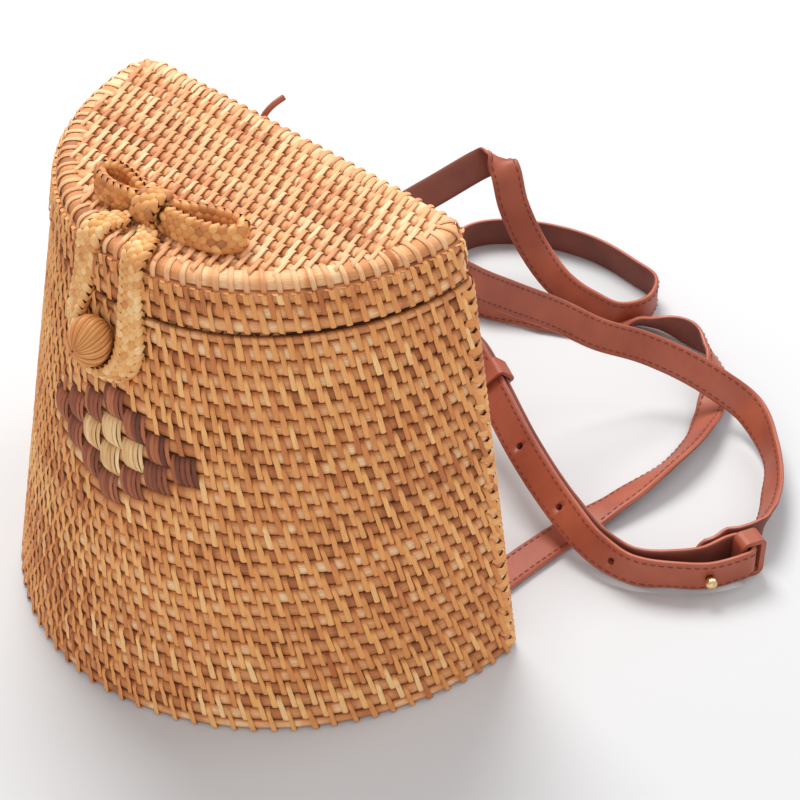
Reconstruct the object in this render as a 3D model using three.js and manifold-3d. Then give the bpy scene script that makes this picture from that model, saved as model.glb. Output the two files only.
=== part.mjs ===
// Woven rattan backpack: a half-moon basket with a hinged lid, a braided bow with its
// closing loop, a ball button, and two leather shoulder straps that lie behind it.
// Millimetres. +Z is up, -Y is the curved front, +Y is the flat back that is worn.
// The origin is on the floor, in the middle of the base.
import * as THREE from "three";
import { mergeVertices } from "three/addons/utils/BufferGeometryUtils.js";
import Module from "manifold-3d";

const wasm = await Module();
wasm.setup();

// Basket and lid
const BASKET_HEIGHT = 200; // floor to the top of the lid's rim
const BASE_WIDTH = 232;
const BASE_DEPTH = 130;
const TOP_WIDTH = 168;
const TOP_DEPTH = 94;
const LID_HEIGHT = 22; // the lid's side, from the seam to the top
const WALL = 4; // wound core with its wrapping
const BASE_THICKNESS = 5;
const EDGE_ROUND = 1.2;
const BODY_CORNER_RADIUS = 3;
const LID_CORNER_RADIUS = 9;
const SEAM_GAP = 0.5;
const RIM_SIZE = 8; // wound core round the lid's top edge
const PANEL_DROP = 0.8; // the lid's flat top lies this far below its rim
const CLEARANCE = 0.3;

// Hinge bindings and the lace on the lid's back
const BINDING_RADIUS = 2.2;
const BINDING_LENGTH = 24;
const BINDING_SPACING = 90;
const LACE_RADIUS = 1.3;
const LACE_OFFSET = 24; // from the middle, towards -X
const LACE_LENGTH = 14; // how far its end stands out behind the lid

// Ball button, bow and closing loop
const BUTTON_WIDTH = 16;
const BUTTON_HEIGHT = 20;
const BUTTON_BELOW_SEAM = 12.4;
const SHANK_RADIUS = 2.4;
const SHANK_LENGTH = 1.6;
const BRAID_WIDTH = 11.2;
const BRAID_THICKNESS = 2.6;
const KNOT_WIDTH = 11;
const KNOT_DEPTH = 14;
const KNOT_HEIGHT = 12.6;
const KNOT_INSET = 19.5; // from the lid's front edge to the knot's middle
const BOW_LEFT_LENGTH = 24;
const BOW_RIGHT_LENGTH = 30;
const BOW_OPENING = 9; // between the two middles of a bow loop's band

// Leather
const STRAP_WIDTH = 15;
const STRAP_THICKNESS = 3;
const STRAP_EDGE = 0.8;
const STRAP_REACH = 230; // how far the straps lie behind the basket
const STRAP_SPACING = 20; // between the straps' middles on the top patch
const PATCH_THICKNESS = 2;
const TOP_PATCH_WIDTH = 42;
const TOP_PATCH_HEIGHT = 30;
const TOP_PATCH_DROP = 14; // from the seam down to the patch
const CORNER_PATCH_WIDTH = 19;
const CORNER_PATCH_HEIGHT = 24;
const CORNER_PATCH_RISE = 7; // from the floor to the patch
const CORNER_PATCH_INSET = 28; // from the basket's side to the patch's middle
const PATCH_CORNER_RADIUS = 3;
const HOLE_RADIUS = 1.6;
const HOLE_SPACING = 34;
const KEEPER_LENGTH = 9;
const KEEPER_THICKNESS = 1.8;
const LINK_WIDTH = 8;
const LINK_THICKNESS = 2.4;
const LINK_SLOT = 6.8; // inner length of the link along the strap
const STUD_RADIUS = 2.7;
const STUD_NECK_RADIUS = 1.2;
const STUD_BASE_RADIUS = 3;
const STUD_BASE_THICKNESS = 0.8;

// How finely curved forms are divided
const FRONT_STEPS = 36;
const CORNER_STEPS = 3;
const BACK_STEPS = 6;
const STRAP_STEP = 18;
const BRAID_STEP = 7;
const BAND_TURN = 0.36; // radians of bend and twist that one step may take
const FINE_SPACING = 0.4;

const BACK_Y = BASE_DEPTH / 2;
const SEAM_Z = BASKET_HEIGHT - LID_HEIGHT;
const PANEL_Z = BASKET_HEIGHT - PANEL_DROP;
const TOP_FRONT_Y = BACK_Y - TOP_DEPTH;

const RATTAN = { color: 0xd9a066, roughness: 0.6, metalness: 0 };
const BRAID = { color: 0xdfb277, roughness: 0.6, metalness: 0 };
const LEATHER = { color: 0xa45a40, roughness: 0.5, metalness: 0 };
const GOLD = { color: 0xe8cf9a, roughness: 0.25, metalness: 1 };

const vec = (x, y, z) => new THREE.Vector3(x, y, z);

// The basket's half width and depth at a height, with straight sloping walls
function halfWidthAt(z) {
  return THREE.MathUtils.lerp(BASE_WIDTH, TOP_WIDTH, z / BASKET_HEIGHT) / 2;
}

function depthAt(z) {
  return THREE.MathUtils.lerp(BASE_DEPTH, TOP_DEPTH, z / BASKET_HEIGHT);
}

// The curved front's y at a place across the basket and a height
function frontY(x, z) {
  return BACK_Y - depthAt(z) * Math.sqrt(1 - (x / halfWidthAt(z)) ** 2);
}

// One half-moon ring: half an ellipse in front, rounded corners and a straight back
function halfMoonRing({ inset, z }, cornerRadius) {
  const halfWidth = halfWidthAt(z) - inset;
  const depth = depthAt(z) - 2 * inset;
  const lineY = BACK_Y - inset;
  const radius = Math.max(cornerRadius - inset, 0.4);
  const start = Math.asin(radius / depth);
  const cornerX = halfWidth * Math.cos(start) - radius;
  const points = [];
  for (let i = 0; i <= FRONT_STEPS; i++) {
    const turn = THREE.MathUtils.lerp(start, Math.PI - start, i / FRONT_STEPS);
    points.push(vec(-halfWidth * Math.cos(turn), lineY - depth * Math.sin(turn), z));
  }
  for (let i = 1; i <= CORNER_STEPS; i++) {
    const turn = (Math.PI / 2) * (i / CORNER_STEPS);
    points.push(vec(cornerX + radius * Math.cos(turn), lineY - radius + radius * Math.sin(turn), z));
  }
  for (let i = 1; i < BACK_STEPS; i++) {
    points.push(vec(THREE.MathUtils.lerp(cornerX, -cornerX, i / BACK_STEPS), lineY, z));
  }
  for (let i = 0; i < CORNER_STEPS; i++) {
    const turn = (Math.PI / 2) * (1 + i / CORNER_STEPS);
    points.push(vec(-cornerX + radius * Math.cos(turn), lineY - radius + radius * Math.sin(turn), z));
  }
  return points;
}

// A closed skin through rings of equal count. Open ends are closed by a fan.
function skinRings(rings, endless = false) {
  const count = rings[0].length;
  const positions = rings.flat().flatMap((point) => [point.x, point.y, point.z]);
  const faces = [];
  const bands = endless ? rings.length : rings.length - 1;
  for (let i = 0; i < bands; i++) {
    const low = i * count;
    const high = ((i + 1) % rings.length) * count;
    for (let j = 0; j < count; j++) {
      const next = (j + 1) % count;
      faces.push(low + j, low + next, high + next, low + j, high + next, high + j);
    }
  }
  if (!endless) {
    const last = (rings.length - 1) * count;
    const bottom = positions.length / 3;
    const top = bottom + 1;
    for (const ring of [rings[0], rings.at(-1)]) {
      const middle = ring.reduce((sum, point) => sum.add(point), vec(0, 0, 0)).divideScalar(count);
      positions.push(middle.x, middle.y, middle.z);
    }
    for (let j = 0; j < count; j++) {
      const next = (j + 1) % count;
      faces.push(bottom, next, j, top, last + j, last + next);
    }
  }
  const geometry = new THREE.BufferGeometry();
  geometry.setAttribute("position", new THREE.Float32BufferAttribute(positions, 3));
  geometry.setIndex(faces);
  return geometry;
}

function halfMoonSolid(profile, cornerRadius, endless = false) {
  return skinRings(profile.map((row) => halfMoonRing(row, cornerRadius)), endless);
}

// Booleans on closed meshes
function toManifold(geometry) {
  const clean = geometry.clone();
  clean.deleteAttribute("normal");
  clean.deleteAttribute("uv");
  const merged = mergeVertices(clean, 1e-4);
  return new wasm.Manifold(
    new wasm.Mesh({
      numProp: 3,
      vertProperties: new Float32Array(merged.attributes.position.array),
      triVerts: new Uint32Array(merged.index.array),
    }),
  );
}

function toGeometry(solid) {
  const mesh = solid.getMesh();
  const geometry = new THREE.BufferGeometry();
  geometry.setAttribute("position", new THREE.Float32BufferAttribute(mesh.vertProperties, 3));
  geometry.setIndex(new THREE.Uint32BufferAttribute(mesh.triVerts, 1));
  return geometry;
}

function placed(geometry, origin, xAxis, yAxis, zAxis) {
  const matrix = new THREE.Matrix4().makeBasis(xAxis, yAxis, zAxis).setPosition(origin);
  return geometry.clone().applyMatrix4(matrix);
}

// A flat band's middle line, from rows of place, width direction and share of its width
function bandFrames(rows, spacing) {
  const line = new THREE.CatmullRomCurve3(rows.map((row) => row.at), false, "centripetal");
  const last = rows.length - 1;
  const count = Math.ceil(line.getLength() / spacing);
  const frames = [];
  for (let i = 0; i <= count; i++) {
    const t = line.getUtoTmapping(i / count);
    const point = line.getPoint(t);
    const along = line.getTangent(t);
    const index = Math.min(Math.floor(t * last), last - 1);
    const rest = t * last - index;
    const from = rows[index];
    const to = rows[index + 1];
    const smooth = rest * rest * (3 - 2 * rest);
    const across = from.width.clone().normalize().lerp(to.width.clone().normalize(), smooth);
    across.addScaledVector(along, -across.dot(along)).normalize();
    const share = THREE.MathUtils.lerp(from.share ?? 1, to.share ?? 1, rest);
    frames.push({ point, along, across, out: along.clone().cross(across), share });
  }
  return frames;
}

// Keeps the frames that a bend, a twist or a long straight stretch calls for
function thinned(frames, step) {
  const kept = [frames[0]];
  let need = 0;
  for (let i = 1; i < frames.length - 1; i++) {
    const before = frames[i - 1];
    const frame = frames[i];
    const turn = before.along.angleTo(frame.along) + before.across.angleTo(frame.across);
    const taper = Math.abs(before.share - frame.share);
    need += before.point.distanceTo(frame.point) / step + turn / BAND_TURN + 4 * taper;
    if (need >= 1) {
      kept.push(frame);
      need = 0;
    }
  }
  kept.push(frames.at(-1));
  return kept;
}

function bandPath(rows, step) {
  return thinned(bandFrames(rows, FINE_SPACING), step);
}

// Lifts a strap's frames so that none dips into the floor
function onFloor(frames) {
  for (const frame of frames) {
    const drop =
      (STRAP_WIDTH / 2) * Math.abs(frame.across.z) + (STRAP_THICKNESS / 2) * Math.abs(frame.out.z);
    frame.point.z = Math.max(frame.point.z, CLEARANCE + drop);
  }
  return frames;
}

function bandRing(frame, width, thickness, edge) {
  const w = (width * frame.share) / 2;
  const t = thickness / 2;
  const corners = [
    [w, t - edge],
    [w - edge, t],
    [edge - w, t],
    [-w, t - edge],
    [-w, edge - t],
    [edge - w, -t],
    [w - edge, -t],
    [w, edge - t],
  ];
  return corners.map(([across, out]) =>
    frame.point.clone().addScaledVector(frame.across, across).addScaledVector(frame.out, out),
  );
}

function bandSolid(frames, width, thickness, edge) {
  return skinRings(frames.map((frame) => bandRing(frame, width, thickness, edge)));
}

function roundedOutline(shape, width, height, radius) {
  const x = width / 2;
  const y = height / 2;
  shape.moveTo(radius - x, -y);
  shape.lineTo(x - radius, -y);
  shape.absarc(x - radius, radius - y, radius, -Math.PI / 2, 0);
  shape.lineTo(x, y - radius);
  shape.absarc(x - radius, y - radius, radius, 0, Math.PI / 2);
  shape.lineTo(radius - x, y);
  shape.absarc(radius - x, y - radius, radius, Math.PI / 2, Math.PI);
  shape.lineTo(-x, radius - y);
  shape.absarc(radius - x, radius - y, radius, Math.PI, 1.5 * Math.PI);
  return shape;
}

// A rounded plate, or with a wall given a rounded ring, centred on its own origin
function roundedPlate(width, height, depth, radius, wall = 0) {
  const shape = roundedOutline(new THREE.Shape(), width, height, radius);
  if (wall > 0) {
    const inner = Math.max(radius - wall, 0.5);
    shape.holes.push(roundedOutline(new THREE.Path(), width - 2 * wall, height - 2 * wall, inner));
  }
  const geometry = new THREE.ExtrudeGeometry(shape, { depth, bevelEnabled: false, curveSegments: 3 });
  return geometry.translate(0, 0, -depth / 2);
}

// Basket body: a hollow half-moon cup with a floor
function basketBody() {
  const rimZ = SEAM_Z - SEAM_GAP / 2;
  return halfMoonSolid(
    [
      { inset: EDGE_ROUND, z: 0 },
      { inset: 0, z: EDGE_ROUND },
      { inset: 0, z: SEAM_Z / 2 },
      { inset: 0, z: rimZ - EDGE_ROUND },
      { inset: EDGE_ROUND, z: rimZ },
      { inset: WALL - EDGE_ROUND, z: rimZ },
      { inset: WALL, z: rimZ - EDGE_ROUND },
      { inset: WALL, z: SEAM_Z / 2 },
      { inset: WALL, z: BASE_THICKNESS },
    ],
    BODY_CORNER_RADIUS,
  );
}

// Lid: a flat top that steps down under its rim into a short side wall
function lid() {
  const lowZ = SEAM_Z + SEAM_GAP / 2;
  const ledgeZ = BASKET_HEIGHT - RIM_SIZE - CLEARANCE;
  const stepInset = RIM_SIZE + CLEARANCE;
  return halfMoonSolid(
    [
      { inset: stepInset + WALL, z: PANEL_Z - WALL },
      { inset: stepInset + WALL - 0.01, z: ledgeZ - WALL },
      { inset: WALL, z: ledgeZ - WALL },
      { inset: WALL, z: lowZ + EDGE_ROUND },
      { inset: WALL - EDGE_ROUND, z: lowZ },
      { inset: EDGE_ROUND, z: lowZ },
      { inset: 0, z: lowZ + EDGE_ROUND },
      { inset: 0, z: ledgeZ },
      { inset: stepInset, z: ledgeZ },
      { inset: stepInset, z: PANEL_Z - EDGE_ROUND },
      { inset: stepInset + EDGE_ROUND, z: PANEL_Z },
    ],
    LID_CORNER_RADIUS,
  );
}

// Lid rim: one thick wound core that runs round the lid's top edge
function lidRim() {
  const half = RIM_SIZE / 2;
  const sides = 10;
  const profile = [];
  for (let i = 0; i < sides; i++) {
    const turn = (2 * Math.PI * (i + 0.5)) / sides;
    const squareness = 0.75;
    const bulge = (value) => Math.sign(value) * Math.abs(value) ** squareness;
    profile.push({
      inset: half - half * bulge(Math.cos(turn)),
      z: BASKET_HEIGHT - half + half * bulge(Math.sin(turn)),
    });
  }
  return halfMoonSolid(profile, LID_CORNER_RADIUS, true);
}

// Hinge binding: a short roll of cane that both backs bear on, on the hinge's axis
function hingeBinding(x) {
  const roll = new THREE.CylinderGeometry(BINDING_RADIUS, BINDING_RADIUS, BINDING_LENGTH, 12);
  roll.rotateZ(Math.PI / 2);
  return roll.translate(x, BACK_Y + CLEARANCE + BINDING_RADIUS, SEAM_Z);
}

// Lace: a thin leather end that climbs the lid's back and stands out behind it
function lidLace() {
  const wallY = BACK_Y + 2 * CLEARANCE + LACE_RADIUS;
  const points = [
    vec(-LACE_OFFSET - 2, wallY, SEAM_Z + 0.25 * LID_HEIGHT),
    vec(-LACE_OFFSET - 1, wallY, SEAM_Z + 0.55 * LID_HEIGHT),
    vec(-LACE_OFFSET, wallY + 0.25 * LACE_LENGTH, SEAM_Z + 0.82 * LID_HEIGHT),
    vec(-LACE_OFFSET + 1, BACK_Y + 0.65 * LACE_LENGTH, SEAM_Z + 0.95 * LID_HEIGHT),
    vec(-LACE_OFFSET + 2, BACK_Y + LACE_LENGTH, SEAM_Z + 1.02 * LID_HEIGHT),
  ];
  const round = new THREE.Shape().absarc(0, 0, LACE_RADIUS, 0, 2 * Math.PI);
  const curve = new THREE.CatmullRomCurve3(points);
  return new THREE.ExtrudeGeometry(round, { steps: 10, extrudePath: curve, curveSegments: 4 });
}

// Ball button: an egg-shaped ball on a short shank, turned about the wall's outward line
const BUTTON_Z = SEAM_Z - BUTTON_BELOW_SEAM;

function ballButton() {
  const radius = BUTTON_WIDTH / 2;
  const profile = [new THREE.Vector2(0, 0), new THREE.Vector2(SHANK_RADIUS, 0)];
  const start = Math.PI - Math.asin(SHANK_RADIUS / radius);
  const rows = 9;
  for (let i = 0; i <= rows; i++) {
    const turn = start * (1 - i / rows);
    const x = i === rows ? 0 : radius * Math.sin(turn);
    profile.push(new THREE.Vector2(x, SHANK_LENGTH + radius * (1 + Math.cos(turn))));
  }
  const ball = new THREE.LatheGeometry(profile, 14);
  ball.scale(1, 1, BUTTON_HEIGHT / BUTTON_WIDTH);
  ball.rotateX(Math.PI);
  const wallY = frontY(0, BUTTON_Z - SHANK_RADIUS * (BUTTON_HEIGHT / BUTTON_WIDTH));
  return ball.translate(0, wallY - CLEARANCE, BUTTON_Z);
}

// Bow: a knot on the lid's front, with a loop of braid on either side
const KNOT_Y = TOP_FRONT_Y + KNOT_INSET;
const BOW_Z = PANEL_Z + CLEARANCE;

function bowKnot() {
  const knot = new THREE.SphereGeometry(0.5, 14, 10);
  knot.scale(KNOT_WIDTH, KNOT_DEPTH, KNOT_HEIGHT);
  return knot.translate(0, KNOT_Y, BOW_Z + KNOT_HEIGHT / 2);
}

// Rows of a bow loop: along is a share of its length, side a share of its opening,
// turned by the loop's swing and leaning back by its lean
const BOW_ROWS = [
  { along: 0, side: -0.2 },
  { along: 0.25, side: -0.42 },
  { along: 0.55, side: -0.55 },
  { along: 0.85, side: -0.42 },
  { along: 1, side: 0.02 },
  { along: 0.86, side: 0.45 },
  { along: 0.55, side: 0.52 },
  { along: 0.25, side: 0.36 },
  { along: 0, side: 0.2 },
];

function bowLoop(towards, length, swing, lean) {
  const start = KNOT_WIDTH / 2 + CLEARANCE + 0.36 * BOW_OPENING * Math.sin(swing);
  const width = vec(0, Math.sin(lean), Math.cos(lean));
  const rise = (BRAID_WIDTH / 2) * Math.cos(lean) + (BRAID_THICKNESS / 2) * Math.sin(lean);
  const rows = BOW_ROWS.map((row) => {
    const x = row.along * length;
    const y = row.side * BOW_OPENING;
    const at = vec(
      towards * (start + x * Math.cos(swing) - y * Math.sin(swing)),
      KNOT_Y + x * Math.sin(swing) + y * Math.cos(swing),
      BOW_Z + rise + CLEARANCE,
    );
    return { at, width };
  });
  return bandSolid(bandPath(rows, BRAID_STEP), BRAID_WIDTH, BRAID_THICKNESS, 0.7);
}

// Closing loop: down from the knot, over the rim, round under the button and back up.
// Rows of the two legs: left and right are shares of the button's width, fall a share of the
// way from the rim to the loop's foot, lift a share of the braid's width, tilt in degrees.
const LOOP_FOOT_Z = BUTTON_Z - BUTTON_HEIGHT / 2 - 0.47 * BRAID_WIDTH;
const LOOP_ROWS = [
  { left: 0.79, right: 0.68, fall: 0.06, lift: 0.22, tilt: 0 },
  { left: 0.82, right: 0.69, fall: 0.24, lift: 0.22, tilt: 2 },
  { left: 0.88, right: 0.76, fall: 0.44, lift: 0.3, tilt: 10 },
  { left: 0.96, right: 0.88, fall: 0.64, lift: 0.43, tilt: 25 },
  { left: 0.86, right: 0.82, fall: 0.83, lift: 0.5, tilt: 35 },
  { left: 0.49, right: 0.48, fall: 0.955, lift: 0.52, tilt: 40 },
];

function closureLoop() {
  const outFromWall = (x, z, lift) => vec(x, frontY(x, z) - lift, z);
  const middleZ = BUTTON_Z - 0.1 * BUTTON_HEIGHT;
  const legX = (row, side) => side * (side < 0 ? row.left : row.right) * BUTTON_WIDTH;
  const sideRows = (side) =>
    LOOP_ROWS.map((row) => {
      const x = legX(row, side);
      const z = THREE.MathUtils.lerp(BASKET_HEIGHT, LOOP_FOOT_Z, row.fall);
      const tilt = THREE.MathUtils.degToRad(row.tilt);
      const away = vec(x, 0, Math.min(z - middleZ, 0)).normalize();
      const width = away.multiplyScalar(Math.cos(tilt)).add(vec(0, Math.sin(tilt), 0));
      return { at: outFromWall(x, z, row.lift * BRAID_WIDTH), width };
    });
  const topZ = BASKET_HEIGHT + CLEARANCE + BRAID_THICKNESS / 2;
  const knotFront = KNOT_Y - KNOT_DEPTH / 2;
  const topRows = (side) => {
    const x = legX(LOOP_ROWS[0], side);
    return [
      { at: vec(0.35 * x, knotFront - 1, topZ + 0.7), width: vec(side, 0.5, 0), share: 0.55 },
      { at: vec(0.67 * x, knotFront - 0.5 * RIM_SIZE, topZ + 0.2), width: vec(side, 0.4, 0), share: 0.8 },
      { at: vec(0.91 * x, TOP_FRONT_Y + 2.2, topZ), width: vec(side, 0.1, 0) },
      { at: vec(0.97 * x, TOP_FRONT_Y - 1.6, BASKET_HEIGHT - 1.4), width: vec(side, 0, 0) },
    ];
  };
  const foot = {
    at: outFromWall(0, LOOP_FOOT_Z, 0.53 * BRAID_WIDTH),
    width: vec(0, Math.sin(0.7), -Math.cos(0.7)),
  };
  const rows = [
    ...topRows(-1),
    ...sideRows(-1),
    foot,
    ...sideRows(1).reverse(),
    ...topRows(1).reverse(),
  ];
  return bandSolid(bandPath(rows, BRAID_STEP), BRAID_WIDTH, BRAID_THICKNESS, 0.7);
}

// Leather patches on the basket's back
function patch(x, lowZ, width, height) {
  const plate = roundedPlate(width, height, PATCH_THICKNESS, PATCH_CORNER_RADIUS);
  plate.rotateX(Math.PI / 2);
  return plate.translate(x, BACK_Y + CLEARANCE + PATCH_THICKNESS / 2, lowZ + height / 2);
}

const TOP_PATCH_Z = SEAM_Z - TOP_PATCH_DROP;
const CORNER_X = BASE_WIDTH / 2 - CORNER_PATCH_INSET;
const SEWN_Y = BACK_Y + 2.2 * CLEARANCE + PATCH_THICKNESS + STRAP_THICKNESS / 2;

// A strap's sewn top end: up the patch, then over and away from the back
function topEndRows(x) {
  const width = vec(1, 0, 0);
  return [
    { at: vec(x, SEWN_Y, TOP_PATCH_Z - 0.85 * TOP_PATCH_HEIGHT), width },
    { at: vec(x, SEWN_Y, TOP_PATCH_Z - 0.5 * TOP_PATCH_HEIGHT), width },
    { at: vec(x, SEWN_Y, TOP_PATCH_Z - 0.33 * TOP_PATCH_HEIGHT), width },
    { at: vec(x, SEWN_Y + 0.4 * STRAP_THICKNESS, TOP_PATCH_Z - 0.1 * TOP_PATCH_HEIGHT), width },
    { at: vec(x, SEWN_Y + 2.2 * STRAP_THICKNESS, TOP_PATCH_Z + 0.03 * TOP_PATCH_HEIGHT), width },
    { at: vec(x, SEWN_Y + 4.6 * STRAP_THICKNESS, TOP_PATCH_Z - 0.1 * TOP_PATCH_HEIGHT), width },
  ];
}

// A strap's sewn bottom end: down the patch, round a short bend and out over the floor
function cornerEndRows(side) {
  const x = side * CORNER_X;
  const width = vec(1, 0, 0);
  const patchTop = CORNER_PATCH_RISE + CORNER_PATCH_HEIGHT;
  const floorZ = CLEARANCE + STRAP_THICKNESS / 2;
  return [
    { at: vec(x, SEWN_Y, patchTop - 2), width },
    { at: vec(x, SEWN_Y, patchTop - 0.4 * CORNER_PATCH_HEIGHT), width },
    { at: vec(x, SEWN_Y, patchTop - 0.66 * CORNER_PATCH_HEIGHT), width },
    { at: vec(x, SEWN_Y + 0.5 * STRAP_THICKNESS, floorZ + 1.7 * STRAP_THICKNESS), width },
    { at: vec(x, SEWN_Y + 2 * STRAP_THICKNESS, floorZ + 0.4 * STRAP_THICKNESS), width },
  ];
}

// Rows where a strap lies: across is a share of half the base's width, back a share of the
// straps' reach, up a share of the basket's height and lift a share of the strap's width,
// both from the floor, and w the direction of its width
function strapRows(table) {
  return table.map(({ across, back, up, lift, w, share }) => ({
    at: vec(
      (across * BASE_WIDTH) / 2,
      BACK_Y + back * STRAP_REACH,
      CLEARANCE + up * BASKET_HEIGHT + lift * STRAP_WIDTH,
    ),
    width: vec(...w),
    share,
  }));
}

// Right strap: from the top patch down behind the basket, up to a fold, round a standing
// loop on the floor, under the other strap and flat to the right bottom corner
const RIGHT_STRAP_ROWS = [
  { across: -0.12, back: 0.13, up: 0.74, lift: 0, w: [1, 0, 0] },
  { across: -0.22, back: 0.22, up: 0.61, lift: 0, w: [1, 0, -0.1] },
  { across: -0.39, back: 0.35, up: 0.425, lift: 0, w: [0.95, 0, -0.3] },
  { across: -0.57, back: 0.48, up: 0.29, lift: 0, w: [0.85, 0, -0.5] },
  { across: -0.69, back: 0.58, up: 0.22, lift: 0, w: [0.8, 0, -0.6] },
  { across: -0.715, back: 0.66, up: 0.212, lift: 0, w: [0.8, -0.05, -0.62] },
  { across: -0.66, back: 0.74, up: 0.24, lift: 0, w: [0.75, -0.08, -0.65] },
  { across: -0.577, back: 0.824, up: 0.283, lift: 0, w: [0.75, -0.08, -0.65] },
  { across: -0.525, back: 0.838, up: 0.303, lift: 0, w: [0.31, 0.72, -0.63] },
  { across: -0.463, back: 0.828, up: 0.295, lift: 0, w: [0.53, 0.8, 0.27] },
  { across: -0.385, back: 0.813, up: 0.22, lift: 0, w: [0.53, 0.8, 0.27] },
  { across: -0.28, back: 0.818, up: 0.122, lift: 0, w: [0.45, 0.75, 0.45] },
  { across: -0.115, back: 0.813, up: 0.03, lift: 0.4, w: [0.3, 0.55, 0.78] },
  { across: 0.035, back: 0.818, up: 0, lift: 0.56, w: [0.1, 0.35, 0.93] },
  { across: 0.172, back: 0.834, up: 0, lift: 0.52, w: [0, 0.1, 1] },
  { across: 0.222, back: 0.892, up: 0, lift: 0.51, w: [0, 0, 1] },
  { across: 0.164, back: 0.957, up: 0, lift: 0.51, w: [0, 0, 1] },
  { across: 0.034, back: 0.971, up: 0, lift: 0.51, w: [0, 0, 1] },
  { across: -0.19, back: 0.976, up: 0, lift: 0.51, w: [0, 0, 1] },
  { across: -0.41, back: 0.943, up: 0, lift: 0.51, w: [0, 0, 1] },
  { across: -0.586, back: 0.88, up: 0, lift: 0.51, w: [0, 0, 1] },
  { across: -0.648, back: 0.82, up: 0, lift: 0.51, w: [0, 0, 1] },
  { across: -0.61, back: 0.73, up: 0, lift: 0.51, w: [0, 0, 1] },
  { across: -0.49, back: 0.669, up: 0, lift: 0.51, w: [0, 0, 1] },
  { across: -0.33, back: 0.664, up: 0, lift: 0.51, w: [0, 0, 1] },
  { across: -0.18, back: 0.7, up: 0, lift: 0.5, w: [-0.2, 0.2, 0.95] },
  { across: -0.06, back: 0.735, up: 0, lift: 0.42, w: [-0.5, 0.45, 0.7] },
  { across: 0.12, back: 0.8, up: 0, lift: 0.16, w: [-0.66, 0.75, 0] },
  { across: 0.275, back: 0.86, up: 0, lift: 0.42, w: [-0.4, 0.45, -0.75] },
  { across: 0.455, back: 0.886, up: 0, lift: 0.51, w: [0, 0, -1] },
  { across: 0.6, back: 0.862, up: 0, lift: 0.45, w: [0.3, 0.4, -0.85] },
  { across: 0.725, back: 0.797, up: 0, lift: 0.32, w: [0.75, 0.5, -0.42] },
  { across: 0.797, back: 0.72, up: 0, lift: 0.34, w: [0.85, 0.08, 0.45] },
  { across: 0.85, back: 0.645, up: 0, lift: 0.46, w: [0.7, -0.05, 0.64] },
  { across: 0.872, back: 0.55, up: 0, lift: 0.47, w: [0.64, -0.15, 0.68] },
  { across: 0.84, back: 0.41, up: 0, lift: 0.3, w: [0.9, 0, 0.38] },
  { across: 0.795, back: 0.29, up: 0, lift: 0.12, w: [1, 0, 0] },
  { across: 0.775, back: 0.2, up: 0, lift: 0.12, w: [1, 0, 0] },
  { across: 0.764, back: 0.11, up: 0, lift: 0.12, w: [1, 0, 0] },
];

// Left strap, upper part: from the top patch in a long fall to the floor, then to the link
const LEFT_UPPER_ROWS = [
  { across: 0.11, back: 0.135, up: 0.725, lift: 0, w: [1, 0.05, 0.05] },
  { across: 0.13, back: 0.243, up: 0.59, lift: 0, w: [0.6, 0.5, 0.6] },
  { across: 0.164, back: 0.361, up: 0.45, lift: 0, w: [-0.1, 0.66, 0.75] },
  { across: 0.207, back: 0.452, up: 0.36, lift: 0, w: [-0.2, 0.66, 0.72] },
  { across: 0.284, back: 0.548, up: 0.27, lift: 0, w: [-0.2, 0.66, 0.72] },
  { across: 0.388, back: 0.613, up: 0.17, lift: 0.45, w: [-0.2, 0.66, 0.72] },
  { across: 0.5, back: 0.685, up: 0.1, lift: 0.7, w: [-0.2, 0.66, 0.72] },
  { across: 0.645, back: 0.726, up: 0.04, lift: 1.05, w: [-0.2, 0.66, 0.72] },
  { across: 0.79, back: 0.745, up: 0, lift: 1.24, w: [-0.2, 0.62, 0.76] },
  { across: 0.94, back: 0.752, up: 0, lift: 0.85, w: [0.15, 0.6, 0.78] },
  { across: 1.135, back: 0.69, up: 0, lift: 0.62, w: [0.2, 0.2, 0.95] },
  { across: 1.252, back: 0.61, up: 0, lift: 0.58, w: [0.45, 0.25, 0.85] },
  { across: 1.312, back: 0.553, up: 0, lift: 0.68, w: [0.45, 0.1, 0.85] },
  { across: 1.348, back: 0.507, up: 0, lift: 0.78, w: [0.35, 0, 0.93] },
];

// Left strap, lower part: from the left bottom corner behind the basket
const LEFT_LOWER_ROWS = [
  { across: -0.79, back: 0.1, up: 0.012, lift: 0.12, w: [1, 0, 0] },
  { across: -0.74, back: 0.2, up: 0.07, lift: 0.12, w: [0.95, -0.3, -0.1] },
  { across: -0.6, back: 0.325, up: 0.13, lift: 0.12, w: [0.6, -0.65, -0.45] },
  { across: -0.37, back: 0.41, up: 0.17, lift: 0.12, w: [0.1, -0.75, -0.65] },
];

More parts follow.
